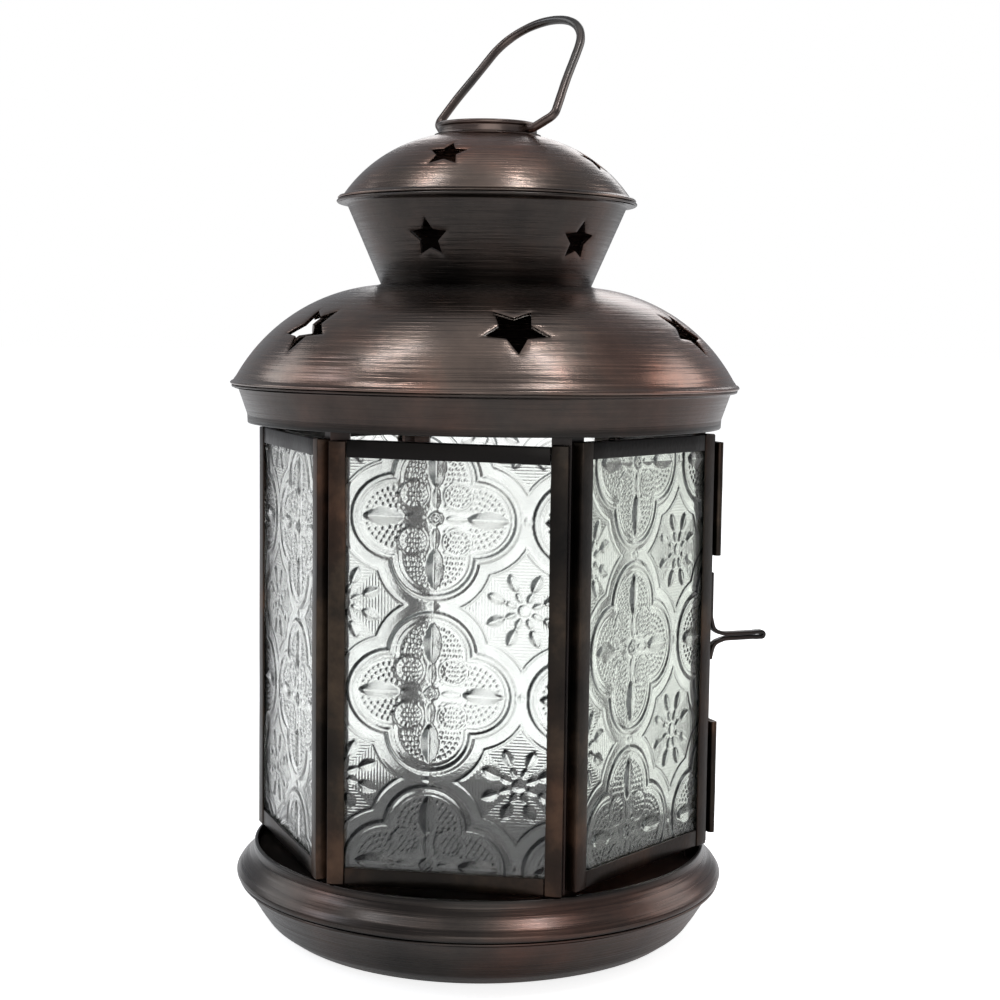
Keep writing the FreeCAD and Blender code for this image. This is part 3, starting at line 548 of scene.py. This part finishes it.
DISH_PATH = rounded(
    [(0.01, 0.0), (46.4, 0.0), (50.2, 0.75), (54.0, 3.5), (56.4, 7.0)]
    + [(60.2, 13.1), (61.2, 13.25), (61.2, 13.9), (59.4, 14.0)],
    [0, 6, 6, 9, 10, 0.7, 0.35, 0.35],
)
RING_PATH = rounded(
    [(58.6, 14.1), (60.5, 13.95), (61.4, 14.25), (61.75, 15.3), (60.7, 16.9)]
    + [(58.5, 19.0), (57.4, 20.9), (57.2, 22.5), (56.5, 22.6)],
    [0.3, 0.6, 1.5, 3.0, 4.0, 2.0, 0.3],
)
SKIRT_PATH = rounded(
    [(58.5, 128.0), (59.15, 128.0), (59.25, 130.2), (61.4, 136.6)]
    + [(63.0, 136.9), (63.1, 137.5), (61.0, 137.6)],
    [0.3, 1.2, 0.7, 0.3, 0.3],
)
DOME_PATH = rounded([(61.2, 137.62), (63.2, 137.62), (63.6, 138.0), (63.2, 138.42)], [0.3, 0.3], 0.15)
DOME_PATH += rounded(
    [(62.85, 138.5)] + arc_points(DOME_CENTRE, DOME_RADIUS, 29.2, 84.5) + [(25.4, 162.9), (25.4, 164.6)],
    [0.6] + [0] * 43 + [0.3, 0.3],
)
NECK_PATH = rounded(
    [(26.0, 162.4), (26.3, 162.5), (34.9, 182.4), (37.2, 182.6)]
    + [(37.5, 183.0), (37.2, 183.4), (35.0, 183.4)],
    [0.2, 0.9, 0.3, 0.3, 0.3],
)
CAP_PATH = rounded([(35.4, 183.42), (36.9, 183.42), (37.3, 183.8), (36.9, 184.2)], [0.3, 0.3], 0.15)
CAP_PATH += rounded(
    [(36.3, 184.25)] + arc_points(CAP_CENTRE, CAP_RADIUS, 34.4, 78.2) + [(11.8, 199.12)],
    [0.6] + [0] * 27 + [0.3],
)
COLLAR_PATH = rounded(
    [(11.5, 199.15), (13.3, 199.15), (13.6, 199.4), (13.1, 199.56), (12.25, 199.7)]
    + [(12.2, 201.4), (12.7, 201.8), (12.7, 202.4), (12.2, 202.7), (11.75, 202.5)],
    [0.1, 0.15, 0.2, 0.5, 0.3, 0.3, 0.3, 0.3],
    0.1,
)

shell("base_dish_shell", DISH_PATH, DULL_AND_SHADED, "lantern", ["base_dish"], seed=1)
shell(
    "base_ring_shell",
    RING_PATH,
    DULL_AND_SHADED,
    "lantern",
    ["base_ring"],
    seed=2,
    wobble=0.15,
    step=0.6,
    # painted shade at the ring's top edge, where the cage sits in it, and a narrow dark band along the seam
    # with the dish
    painted_shade=[(22.5, 1.2), (14.2, 0.35)],
)
shell(
    "skirt_shell",
    SKIRT_PATH,
    DULL_AND_SHADED,
    "lantern",
    ["skirt_ring"],
    seed=3,
    wobble=0.25,
    step=0.7,
    # painted shade along the skirt's lower edge, above the cage
    painted_shade=[(128.0, 1.6)],
)
shell(
    "lower_dome_shell",
    DOME_PATH,
    SPUN_LIT,
    "lantern",
    ["lower_dome"],
    stars=dict(
        tip=8.0,
        valley=4.0,
        count=6,
        azimuth=8.0,
        rise=rise_on_arc(DOME_CENTRE, DOME_RADIUS, 49.5),
        down=True,
    ),
    seed=4,
    wobble=0.3,
)
shell(
    "neck_shell",
    NECK_PATH,
    DULL_AND_SHADED,
    "lantern",
    ["neck_cone"],
    # painted shade round the neck's foot, where it meets the dome
    painted_shade=[(163.0, 5.0)],
    stars=dict(tip=5.1, valley=2.6, count=5, azimuth=334.0, rise=173.0, down=False),
    seed=5,
    wobble=0.25,
    step=0.8,
)
shell(
    "cap_shell",
    CAP_PATH,
    SPUN_LIT,
    "lantern",
    ["cap_dome"],
    stars=dict(
        tip=5.2, valley=2.6, count=4, azimuth=340.0, rise=rise_on_arc(CAP_CENTRE, CAP_RADIUS, 54), down=False
    ),
    seed=6,
    wobble=0.25,
    step=0.8,
)
shell(
    "vent_collar_shell",
    COLLAR_PATH,
    SILVERED,
    "lantern",
    ["vent_collar"],
    seed=7,
    wobble=0.1,
    step=0.3,
    thick=0.6,
)

# ---------------------------------------------------------------- bail


def tube_along(spots, radius, sides=20):
    """Tube round a run of points in space, closed by flat ends, in millimetres."""
    spots = np.array(spots, float)
    tangent = np.gradient(spots, axis=0)
    tangent /= np.linalg.norm(tangent, axis=1)[:, None]
    side = np.cross(tangent[0], (0.3, 0.2, 0.9))
    side /= np.linalg.norm(side)
    points, faces = [], []
    radii = np.broadcast_to(radius, (len(spots),))
    for place, forward, reach in zip(spots, tangent, radii):
        side = side - forward * (side @ forward)
        side /= np.linalg.norm(side)
        other = np.cross(forward, side)
        for number in range(sides):
            angle = 2 * math.pi * number / sides
            points.append(place + reach * (math.cos(angle) * side + math.sin(angle) * other))
    faces.extend(loft_faces(len(spots) - 1, sides))
    faces.append(tuple(range(sides))[::-1])
    last = (len(spots) - 1) * sides
    faces.append(tuple(last + number for number in range(sides)))
    return points, faces


def bail_line():
    """Middle line of the bail wire in its own plane: across, and along the loop."""
    corners = [(-9.4, 0), (-14.3, 0), (-19, 4.2), (0, 99.6), (19, 4.2), (14.3, 0), (9.4, 0)]
    corners = [np.array(c, float) for c in corners]
    path = [corners[0]]
    for before, spot, after, radius in zip(corners, corners[1:], corners[2:], (2.6, 2.6, 14.6, 2.6, 2.6)):
        back = (before - spot) / np.linalg.norm(before - spot)
        onward = (after - spot) / np.linalg.norm(after - spot)
        half = math.acos(float(back @ onward)) / 2
        trim = radius / math.tan(half)
        bisector = (back + onward) / np.linalg.norm(back + onward)
        centre = spot + bisector * radius / math.sin(half)
        enter, leave = spot + back * trim - centre, spot + onward * trim - centre
        turn = math.atan2(enter[0] * leave[1] - enter[1] * leave[0], float(enter @ leave))
        for share in np.linspace(0, 1, 40 if radius > 5 else 10):
            angle = turn * share
            spun_point = (
                enter[0] * math.cos(angle) - enter[1] * math.sin(angle),
                enter[0] * math.sin(angle) + enter[1] * math.cos(angle),
            )
            path.append(centre + spun_point)
    path.append(corners[-1])
    return resample(path, 1.0)


def make_bail():
    line = bail_line()
    # along the hinge line is (sin, -cos) of its azimuth, and the loop leans back from upright
    azimuth, tilt = math.radians(50.0), math.radians(39.0)
    across = np.array((math.sin(azimuth), -math.cos(azimuth), 0.0))
    lean = np.array((math.cos(azimuth), math.sin(azimuth), 0.0))
    up = np.array((0, 0, math.cos(tilt))) + lean * math.sin(tilt)
    spots = []
    for x, y in line:
        spot = np.array((0, 0, 200.7)) + across * x + up * y
        bend = noise.noise_vector(Vector(spot) / 19)
        spots.append(spot + np.array(bend) * min(0.5, max(0.0, y - 4) * 0.05))
    radii = [1.1 + 0.04 * noise.noise(Vector(spot) / 3.1) for spot in spots]
    points, faces = tube_along(spots, radii)
    mesh = mesh_from("bail_wire_loop", points, faces)
    return finish_piece("bail_wire_loop", mesh, WIRE, "bail", ["bail_handle"])


make_bail()

PLATE_PATH = [(56.4, 20.2), (56.3, 20.5), (20.0, 20.6), (1.5, 20.6)]
CUP_PATH = rounded(
    [(1.5, 20.6), (20.8, 20.6), (20.8, 28.9), (21.3, 29.1), (21.3, 29.5), (20.5, 29.6)],
    [0.9, 0.4, 0.2, 0.2],
    0.15,
)
shell(
    "floor_plate_sheet", PLATE_PATH, INNER, "lantern", ["floor_plate"], seed=8, wobble=0.12
)
shell(
    "candle_cup_shell",
    CUP_PATH,
    INNER,
    "lantern",
    ["candle_cup"],
    seed=9,
    wobble=0.1,
    step=0.6,
    thick=0.5,
)
for name in ("head_ring", "cup_rivet"):
    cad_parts[name].data.materials.clear()
    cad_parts[name].data.materials.append(SHADED)

# ---------------------------------------------------------------- cage

APOTHEM = 59.1 * math.cos(math.radians(30))
FRAME_LOW = 23.3
FRAME_TALL = 103.2
FRAME_HALF = 27.5
STRIP = 4.0


def panel_matrix(azimuth):
    """From a panel's own axes, across, inward and up, to the lantern's."""
    return np.array(Matrix.Rotation(math.radians(azimuth), 3, "Z"))


def place_in_panel(points, azimuth):
    """Panel points are (across, depth from the outer face, height)."""
    points = np.asarray(points, float)
    local = np.column_stack([points[:, 0], points[:, 1] - APOTHEM, points[:, 2]])
    return local @ panel_matrix(azimuth).T


def folded_strip(start, end, across, depth, seed, recess=0.0):
    """U-section strip from start to end in panel axes; across points from its outer edge to the glass."""
    start, end, across = np.array(start, float), np.array(end, float), np.array(across, float)
    length = np.linalg.norm(end - start)
    along = (end - start) / length
    section = [
        (0.0, recess),
        (STRIP, recess),
        (STRIP, recess + 0.55),
        (1.5, recess + 0.55),
        (1.5, depth - 0.5),
        (STRIP, depth - 0.5),
        (STRIP, depth),
        (0.0, depth),
    ]
    parts = max(2, int(length / 5))
    points, faces = [], []
    for row in range(parts + 1):
        middle = start + along * length * row / parts
        for number, (wide, deep) in enumerate(section):
            spot = Vector((row * 0.23, number // 4 * 0.6, seed * 3.3))
            shift = 0.16 * noise.noise(spot) if wide > 1 else 0.0
            dent = 0.1 * noise.noise(spot + Vector((9, 0, 0)))
            point = middle + across * (wide + shift)
            points.append((point[0], deep + max(dent, -deep), point[1]))
    size = len(section)
    faces.extend(loft_faces(parts, size))
    faces.append(tuple(range(size)))
    faces.append(tuple(parts * size + number for number in range(size))[::-1])
    return points, faces


def join_parts(parts):
    points, faces = [], []
    for part_points, part_faces in parts:
        first = len(points)
        points.extend(part_points)
        faces.extend(tuple(first + k for k in face) for face in part_faces)
    return points, faces


def soften(piece, width, segments=2, angle=35):
    edge = piece.modifiers.new("edge", "BEVEL")
    edge.width = width * MM
    edge.segments = segments
    edge.limit_method = "ANGLE"
    edge.angle_limit = math.radians(angle)
    edge.harden_normals = False


def make_panel_frame(name, azimuth, depth, body, seed, drop=0.0, slant=0.0):
    """Four folded strips round a pane, with painted shade: the top rail darkest, as in the eave's shadow,
    then the bottom rail, then the right stile, and the left stile least.
    """
    low, high = FRAME_LOW - drop, FRAME_LOW + FRAME_TALL - drop
    left, right = -FRAME_HALF, FRAME_HALF
    gap = 0.12
    strips = [
        folded_strip((left, low), (left, high), (1, 0), depth, seed),
        folded_strip((right, low), (right, high), (-1, 0), depth, seed + 1),
        folded_strip(
            (left + STRIP + gap, low + 0.1), (right - STRIP - gap, low + 0.1), (0, 1), depth, seed + 2, 0.18
        ),
        folded_strip(
            (left + STRIP + gap, high - 0.1 + slant),
            (right - STRIP - gap, high - 0.1 - slant),
            (0, -1),
            depth,
            seed + 3,
            0.18,
        ),
    ]
    points, faces = join_parts(strips)
    mesh = mesh_from(name + "_strips", place_in_panel(points, azimuth), faces, smooth=False)
    # painted shade per strip, in the order left stile, right stile, bottom rail, top rail
    shares = (0.1, 0.3, 0.6, 0.97)
    shade_amount = np.concatenate([np.full(len(strip[0]), share) for strip, share in zip(strips, shares)])
    mesh.attributes.new("painted_shade", "FLOAT", "POINT").data.foreach_set("value", shade_amount.astype(np.float32))
    work = bmesh.new()
    work.from_mesh(mesh)
    bmesh.ops.recalc_face_normals(work, faces=work.faces)
    work.to_mesh(mesh)
    work.free()
    mesh.shade_smooth()
    piece = finish_piece(name + "_strips", mesh, FOLDED, body, [name])
    soften(piece, 0.28, 3)
    return piece


# ---------------------------------------------------------------- figured glass

REPEAT = 40.3
LOBE_OUT = 8.9
LOBE_IN = 8.0
STEP = 0.3
RIB_PITCH = 0.72


def bump_line(distance, half_width, height):
    """Rounded ridge along a line."""
    return height * np.exp(-((distance / half_width) ** 2))


def dots_round(x, y, pitch, size):
    """Dots in rings round the origin."""
    reach = np.hypot(x, y)
    ring = np.maximum(np.round(reach / pitch), 0)
    ring_radius = ring * pitch
    count = np.maximum(np.round(2 * math.pi * ring_radius / pitch), 1)
    turn = np.arctan2(y, x) / (2 * math.pi)
    share = turn * count - np.round(turn * count)
    gap = np.hypot(reach - ring_radius, share / count * 2 * math.pi * ring_radius)
    return np.where(gap < size, 0.5 + 0.5 * np.cos(math.pi * np.minimum(gap / size, 1)), 0)


def leaf(across, along, centre, half_long, half_wide, height):
    """Pointed leaf with a ridge along its middle."""
    share = np.clip(1 - ((along - centre) / half_long) ** 2, 0, 1)
    width = np.maximum(half_wide * share, 1e-6)
    inside = np.abs(across) < width
    shown = inside & (share > 0)
    ridge = height * (1 - np.abs(across) / width) * np.minimum(share * 2, 1)
    return np.where(shown, ridge, 0), shown


def figured_relief(u, v, repeats):
    """Relief of the pressed pattern and the masks of its ribbed ground, from pane places in mm."""
    u, v = u * REPEAT / repeats[0], v * REPEAT / repeats[1]
    x = (u + REPEAT / 2) % REPEAT - REPEAT / 2
    y = (v + REPEAT / 2) % REPEAT - REPEAT / 2
    lobes = [(LOBE_OUT, 0), (-LOBE_OUT, 0), (0, LOBE_OUT), (0, -LOBE_OUT)]
    reaches = np.array([np.hypot(x - cx, y - cy) for cx, cy in lobes])
    which = reaches.argmin(axis=0)
    edge = reaches.min(axis=0) - LOBE_IN
    height = bump_line(edge, 0.3, 0.2)
    ring = np.clip(1 - np.abs(edge - 1.25) / 0.85, 0, 1)
    height += 0.5 * np.sqrt(ring)
    height += bump_line(edge - 4.9, 0.32, 0.26)
    curl_x, curl_y = np.abs(x) - 4.9, np.abs(y) - 5.3
    curl = np.hypot(curl_x, curl_y)
    in_curl = curl < 2.55
    height += bump_line(curl - 3.0, 0.4, 0.26) * (edge < -0.4)
    arm_across = np.where(np.abs(x) > np.abs(y), y, x)
    arm_along = np.maximum(np.abs(x), np.abs(y))
    leaf_height, in_leaf = leaf(arm_across, arm_along, 11.6, 4.9, 2.3, 0.75)
    band = (np.minimum(np.abs(x), np.abs(y)) < 1.9) & (arm_along < 8.2)
    dotted = (edge < -0.75) & ~in_leaf & ~band & (curl > 3.4)
    stipple = np.zeros_like(x)
    for number, (cx, cy) in enumerate(lobes):
        here = dotted & (which == number)
        stipple = np.where(here, dots_round(x - cx, y - cy, 1.28, 0.6), stipple)
    stipple = np.where(in_curl & ~band, dots_round(curl_x, curl_y, 1.15, 0.55), stipple)
    height += 0.27 * stipple
    height += np.where(in_leaf, leaf_height, 0)
    diamond = np.abs(x) + np.abs(y)
    height += 0.3 * np.clip(1 - np.abs(diamond - 1.5) / 0.6, 0, 1)
    height += leaf(arm_across, arm_along, 4.6, 2.6, 1.2, 0.32)[0]
    meet_x = (u % REPEAT) - REPEAT / 2
    for a, b in ((meet_x, y), (x, (v % REPEAT) - REPEAT / 2)):
        small = np.abs(a) + np.abs(b)
        height += 0.35 * np.clip(1 - small / 1.6, 0, 1)
    flower_x, flower_y = (u % REPEAT) - REPEAT / 2, (v % REPEAT) - REPEAT / 2
    reach = np.hypot(flower_x, flower_y)
    height += 0.35 * np.sqrt(np.clip(1 - (reach / 1.5) ** 2, 0, 1))
    petals = np.zeros_like(x)
    in_petal = np.zeros(x.shape, bool)
    for number in range(8):
        angle = math.radians(45 * number + 22.5)
        along = flower_x * math.cos(angle) + flower_y * math.sin(angle)
        across = -flower_x * math.sin(angle) + flower_y * math.cos(angle)
        for middle_at, half_long, half_wide, tall in ((3.2, 1.4, 0.95, 0.4), (6.7, 2.3, 1.5, 0.55)):
            shape, inside = leaf(across, along, middle_at, half_long, half_wide, tall)
            petals = np.maximum(petals, shape)
            in_petal |= inside
    height += petals
    ground = (edge > 5.6) & (reach > 2.0) & ~in_petal
    rows = (ground & (np.abs(flower_y) > np.abs(flower_x))).astype(float)
    columns = (ground & (np.abs(flower_y) <= np.abs(flower_x))).astype(float)
    return height, rows, columns


def make_pane(name, azimuth, depth, body, phase, repeats, seed, glass, relief_shade):
    """Pane with the pressed pattern on its outer face.

    Phase is where one quatrefoil's centre lies, and the last argument is how strongly the relief's steep
    sides, and the sides that face one way, are painted darker as shade.
    """
    half_u, low, high = FRAME_HALF - 1.5, FRAME_LOW + 1.5, FRAME_LOW + FRAME_TALL - 1.5
    us = np.linspace(-half_u, half_u, int(half_u * 2 / STEP) + 1)
    vs = np.linspace(low, high, int((high - low) / STEP) + 1)
    u, v = np.meshgrid(us, vs)
    askew = 0.018
    from_u, from_v = u - phase[0], v - phase[1]
    height, rows, columns = figured_relief(from_u - askew * from_v, from_v + askew * from_u, repeats)
    ripple = np.array(
        [[noise.noise(Vector((a / 9, b / 9, seed))) for a in us[::6]] for b in vs[::6]]
    )
    soft = np.array([np.interp(us, us[::6], row) for row in ripple])
    soft = np.array([np.interp(vs, vs[::6], soft[:, k]) for k in range(len(us))]).T
    height = height + 0.1 * soft
    slope_v, slope_u = np.gradient(height, vs[1] - vs[0], us[1] - us[0])
    # painted shade: the relief's sides that face one way, and its steep sides, are stored as a darkening of
    # the glass colour
    facing = np.clip((0.85 * slope_u - 0.35 * slope_v) * 2.7 - 0.12, 0, 1)
    steep = np.clip(np.hypot(slope_u, slope_v) * 1.5 - 0.32, 0, 1)
    dark = np.clip(facing + 0.75 * steep, 0, 1) * relief_shade
    base = depth / 2 - 0.9 + 0.42
    front = base - np.clip(height, -0.1, 0.75) * 0.75
    rows_n, columns_n = u.shape
    points = np.column_stack([u.ravel(), front.ravel(), v.ravel()])
    index = np.arange(rows_n * columns_n).reshape(rows_n, columns_n)
    quads = np.stack([index[:-1, :-1], index[:-1, 1:], index[1:, 1:], index[1:, :-1]], axis=-1)
    quads = quads.reshape(-1, 4)
    border = list(index[0, :]) + list(index[1:, -1])
    border += list(index[-1, -2::-1]) + list(index[-2:0:-1, 0])
    back_depth = depth / 2 + 0.9
    back = points[border].copy()
    back[:, 1] = back_depth
    first = len(points)
    ring = list(range(first, first + len(border)))
    faces = [tuple(int(k) for k in q) for q in quads]
    for k in range(len(border)):
        after = (k + 1) % len(border)
        faces.append((int(border[k]), ring[k], ring[after], int(border[after])))
    faces.append(tuple(ring[::-1]))
    everything = place_in_panel(np.vstack([points, back]), azimuth)
    mesh = mesh_from(name + "_figured", everything, faces, smooth=False)
    smooth = np.zeros(len(faces), bool)
    smooth[: len(quads)] = True
    mesh.polygons.foreach_set("use_smooth", smooth)
    spare = len(border)
    for label, values in (("dark", dark), ("rib_rows", rows), ("rib_columns", columns)):
        store = mesh.attributes.new(label, "FLOAT", "POINT")
        store.data.foreach_set("value", np.concatenate([values.ravel(), np.zeros(spare)]).astype(np.float32))
    place = mesh.attributes.new("pane_place", "FLOAT_VECTOR", "POINT")
    spots = np.vstack([np.column_stack([u.ravel(), v.ravel(), 0 * u.ravel()]), np.zeros((spare, 3))])
    place.data.foreach_set("vector", spots.astype(np.float32).ravel())
    mesh.update()
    return finish_piece(name + "_figured", mesh, glass, body, [name])


def figured_glass(name, clear):
    """Clear pressed glass: ribbed ground by bump, with painted shade on the relief's steep sides, on its
    sides that face one way, and on the ribs' raised halves.
    """
    material, tree, shader = new_material(name)
    shader.inputs["Transmission Weight"].default_value = 0.97
    shader.inputs["IOR"].default_value = 1.5
    shader.inputs["Metallic"].default_value = 0.0
    dark = add_node(tree, "ShaderNodeAttribute", attribute_name="dark").outputs["Fac"]
    place = add_node(tree, "ShaderNodeAttribute", attribute_name="pane_place").outputs["Vector"]
    split = add_node(tree, "ShaderNodeSeparateXYZ")
    tree.links.new(place, split.inputs[0])
    rows = add_node(tree, "ShaderNodeAttribute", attribute_name="rib_rows").outputs["Fac"]
    columns = add_node(tree, "ShaderNodeAttribute", attribute_name="rib_columns").outputs["Fac"]
    ribs = []
    for mask, axis in ((rows, "Y"), (columns, "X")):
        phase = math_node(tree, "MULTIPLY", split.outputs[axis], 2 * math.pi / RIB_PITCH)
        wave = math_node(tree, "SINE", phase, 0)
        ribs.append(math_node(tree, "MULTIPLY", wave, mask))
    rib = math_node(tree, "ADD", ribs[0], ribs[1])
    blur = noise_of(tree, place, 1.6, 3.0, 0.6)
    half_rib = math_node(tree, "MULTIPLY", rib, 0.5)
    relief = math_node(tree, "ADD", half_rib, math_node(tree, "MULTIPLY", blur, 0.7))
    bump = add_node(tree, "ShaderNodeBump")
    bump.inputs["Strength"].default_value = 0.6
    bump.inputs["Distance"].default_value = 0.0001
    tree.links.new(relief, bump.inputs["Height"])
    tree.links.new(bump.outputs["Normal"], shader.inputs["Normal"])
    # painted shade: the ribs' raised halves darken the colour too
    raised = math_node(tree, "MAXIMUM", rib, 0)
    shade = math_node(tree, "ADD", dark, math_node(tree, "MULTIPLY", raised, 0.22))
    dimmer = tuple(0.64 * part for part in clear)
    colour = colour_ramp(tree, shade, ((0.0, clear), (0.3, dimmer), (0.85, (0.02, 0.022, 0.022))))
    tree.links.new(colour, shader.inputs["Base Color"])
    rough = value_range(tree, blur, 0.2, 0.8, 0.03, 0.12)
    tree.links.new(rough, shader.inputs["Roughness"])
    return material


GLASS = figured_glass("figured_glass", (0.95, 0.965, 0.945))
GREENISH = figured_glass("greenish_glass", (0.83, 0.865, 0.8))
# the last column sets how strong the painted shade on the relief is, weaker on the front left pane
PANELS = (
    ("frame_front", "pane_front", -8.69, (-2.7, 108.9), (42.0, 40.3), 0.45, GLASS, 1.0),
    ("frame_front_right", "pane_front_right", 51.31, (-4.6, 121.5), (36.0, 44.0), -0.35, GREENISH, 1.0),
    ("door_frame", "door_pane", DOOR_AZIMUTH, (9.0, 96.0), (40.3, 40.3), 0.0, GLASS, 1.0),
    ("frame_back", "pane_back", 171.31, (-14.0, 104.0), (40.3, 40.3), 0.1, GLASS, 1.0),
    ("frame_back_left", "pane_back_left", 231.31, (5.0, 90.0), (40.3, 40.3), 0.0, GLASS, 1.0),
    ("frame_front_left", "pane_front_left", 291.31, (8.0, 104.0), (38.0, 42.0), 0.2, GLASS, 0.6),
)
for number, (frame_name, pane_name, azimuth, phase, repeats, drop, glass, relief_shade) in enumerate(PANELS):
    is_door = frame_name == "door_frame"
    depth = 2.85 if is_door else 3.0
    body = "door" if is_door else "lantern"
    make_panel_frame(frame_name, azimuth, depth, body, 4 * number, drop, 0.35 if number == 0 else 0.0)
    make_pane(pane_name, azimuth, depth, body, phase, repeats, number, glass, relief_shade)

for number in range(1, 7):
    set_material("corner_post_%d" % number, SHADED)
for part_name in ("fixed_leaf", "door_leaf", "hinge_pin"):
    for level in ("lower", "upper"):
        set_material("%s_%s" % (part_name, level), FOLDED)

# ---------------------------------------------------------------- door lips and pull


def make_lip(name, low, seed):
    """Sheet folded double: two leaves with a slit between them and a round fold."""
    thick, wide, tall = 1.9, 5.3, 28.4
    half = thick / 2
    slit = half + 0.4
    section = [(wide, -thick), (wide, -half - 0.12), (slit, -half - 0.1)]
    section += [(slit, -half + 0.1), (wide, -half + 0.12), (wide, 0)]
    for angle in np.radians(np.linspace(90, 270, 9)):
        section.append((half + half * math.cos(angle), -half + half * math.sin(angle)))
    edge = -FRAME_HALF - 1.3
    parts = 8
    points, faces = [], []
    for row in range(parts + 1):
        shift = 0.14 * noise.noise(Vector((row * 0.5, seed, 0)))
        for across, out in section:
            sunk = out - 0.02 + min(shift, 0) * 0.5
            points.append((edge + across + shift * 0.4, sunk, low + tall * row / parts))
    size = len(section)
    faces.extend(loft_faces(parts, size))
    faces.append(tuple(range(size))[::-1])
    faces.append(tuple(parts * size + number for number in range(size)))
    mesh = mesh_from(name + "_fold", place_in_panel(points, DOOR_AZIMUTH), faces)
    clean_mesh(mesh)
    piece = finish_piece(name + "_fold", mesh, FOLDED, "door", [name])
    soften(piece, 0.12, 2, 50)


def ribbon_along(line, half_thick, half_wide):
    """Rounded flat strip along a line of (out, up) points; points are (across, -out, up)."""
    section = []
    for number in range(16):
        angle = 2 * math.pi * number / 16
        c, d = math.cos(angle), math.sin(angle)
        across = math.copysign(abs(c) ** 0.5, c) * half_wide
        section.append((across, math.copysign(abs(d) ** 0.5, d) * half_thick))
    line = np.array(line, float)
    tangent = np.gradient(line, axis=0)
    tangent /= np.linalg.norm(tangent, axis=1)[:, None]
    points, faces = [], []
    for (out, up), (t_out, t_up) in zip(line, tangent):
        for across, off in section:
            points.append((across, -(out + t_up * off), up - t_out * off))
    size = len(section)
    faces.extend(loft_faces(len(line) - 1, size))
    faces.append(tuple(range(size))[::-1])
    faces.append(tuple((len(line) - 1) * size + number for number in range(size)))
    return points, faces


def make_pull():
    """Split pin: two flat legs on the stile, a doubled tongue and a small eye at its tip."""
    half = 0.52
    reach = 16.4
    upper = rounded(
        [(half + 0.03, 16.4), (half + 0.05, 5.2), (1.5, 1.6), (4.6, 0.62)]
        + [(12.6, 0.58), (13.6, 0.66), (reach - 1.3, 0.66)],
        [3, 3.5, 4, 2, 1],
        0.3,
    )
    turns = np.linspace(0.25, math.pi - 0.25, 9)
    bend = [(reach - 1.25 + 0.66 * math.sin(a), 0.66 * math.cos(a)) for a in turns]
    lower = [(out, -up) for out, up in upper[::-1] if up < 14.4]
    line = resample(upper + bend + lower, 0.5)
    points, faces = ribbon_along(line, half, 1.2)
    points = [(p[0] - (FRAME_HALF - STRIP / 2), p[1], p[2] + 75.3) for p in points]
    mesh = mesh_from("door_pull_strip", place_in_panel(points, DOOR_AZIMUTH), faces)
    clean_mesh(mesh)
    finish_piece("door_pull_strip", mesh, SHADED, "door", ["door_pull"])


make_lip("door_lip_lower", 25.7, 1)
make_lip("door_lip_upper", 96.2, 2)
make_pull()

# ---------------------------------------------------------------- floor


def make_floor():
    """Plain pale floor under the lantern."""
    mesh = bpy.data.meshes.new("floor")
    reach = 12.0
    corners = [(-reach, -reach, 0), (reach, -reach, 0), (reach, reach, 0), (-reach, reach, 0)]
    mesh.from_pydata(corners, [], [(0, 1, 2, 3)])
    floor = bpy.data.objects.new("floor", mesh)
    bpy.context.scene.collection.objects.link(floor)
    material, tree, shader = new_material("pale_floor")
    shader.inputs["Base Color"].default_value = (0.85, 0.85, 0.85, 1)
    shader.inputs["Roughness"].default_value = 0.9
    shader.inputs["Emission Color"].default_value = (1, 1, 1, 1)
    path = add_node(tree, "ShaderNodeLightPath")
    through = path.outputs["Is Transmission Ray"]
    not_through = math_node(tree, "SUBTRACT", 1.0, through)
    reflected = math_node(tree, "MULTIPLY", path.outputs["Is Glossy Ray"], not_through)
    glow = value_range(tree, reflected, 0, 1, 0.8, 0.12)
    glow = math_node(tree, "ADD", glow, math_node(tree, "MULTIPLY", through, 0.02))
    tree.links.new(glow, shader.inputs["Emission Strength"])
    mesh.materials.append(material)


make_floor()
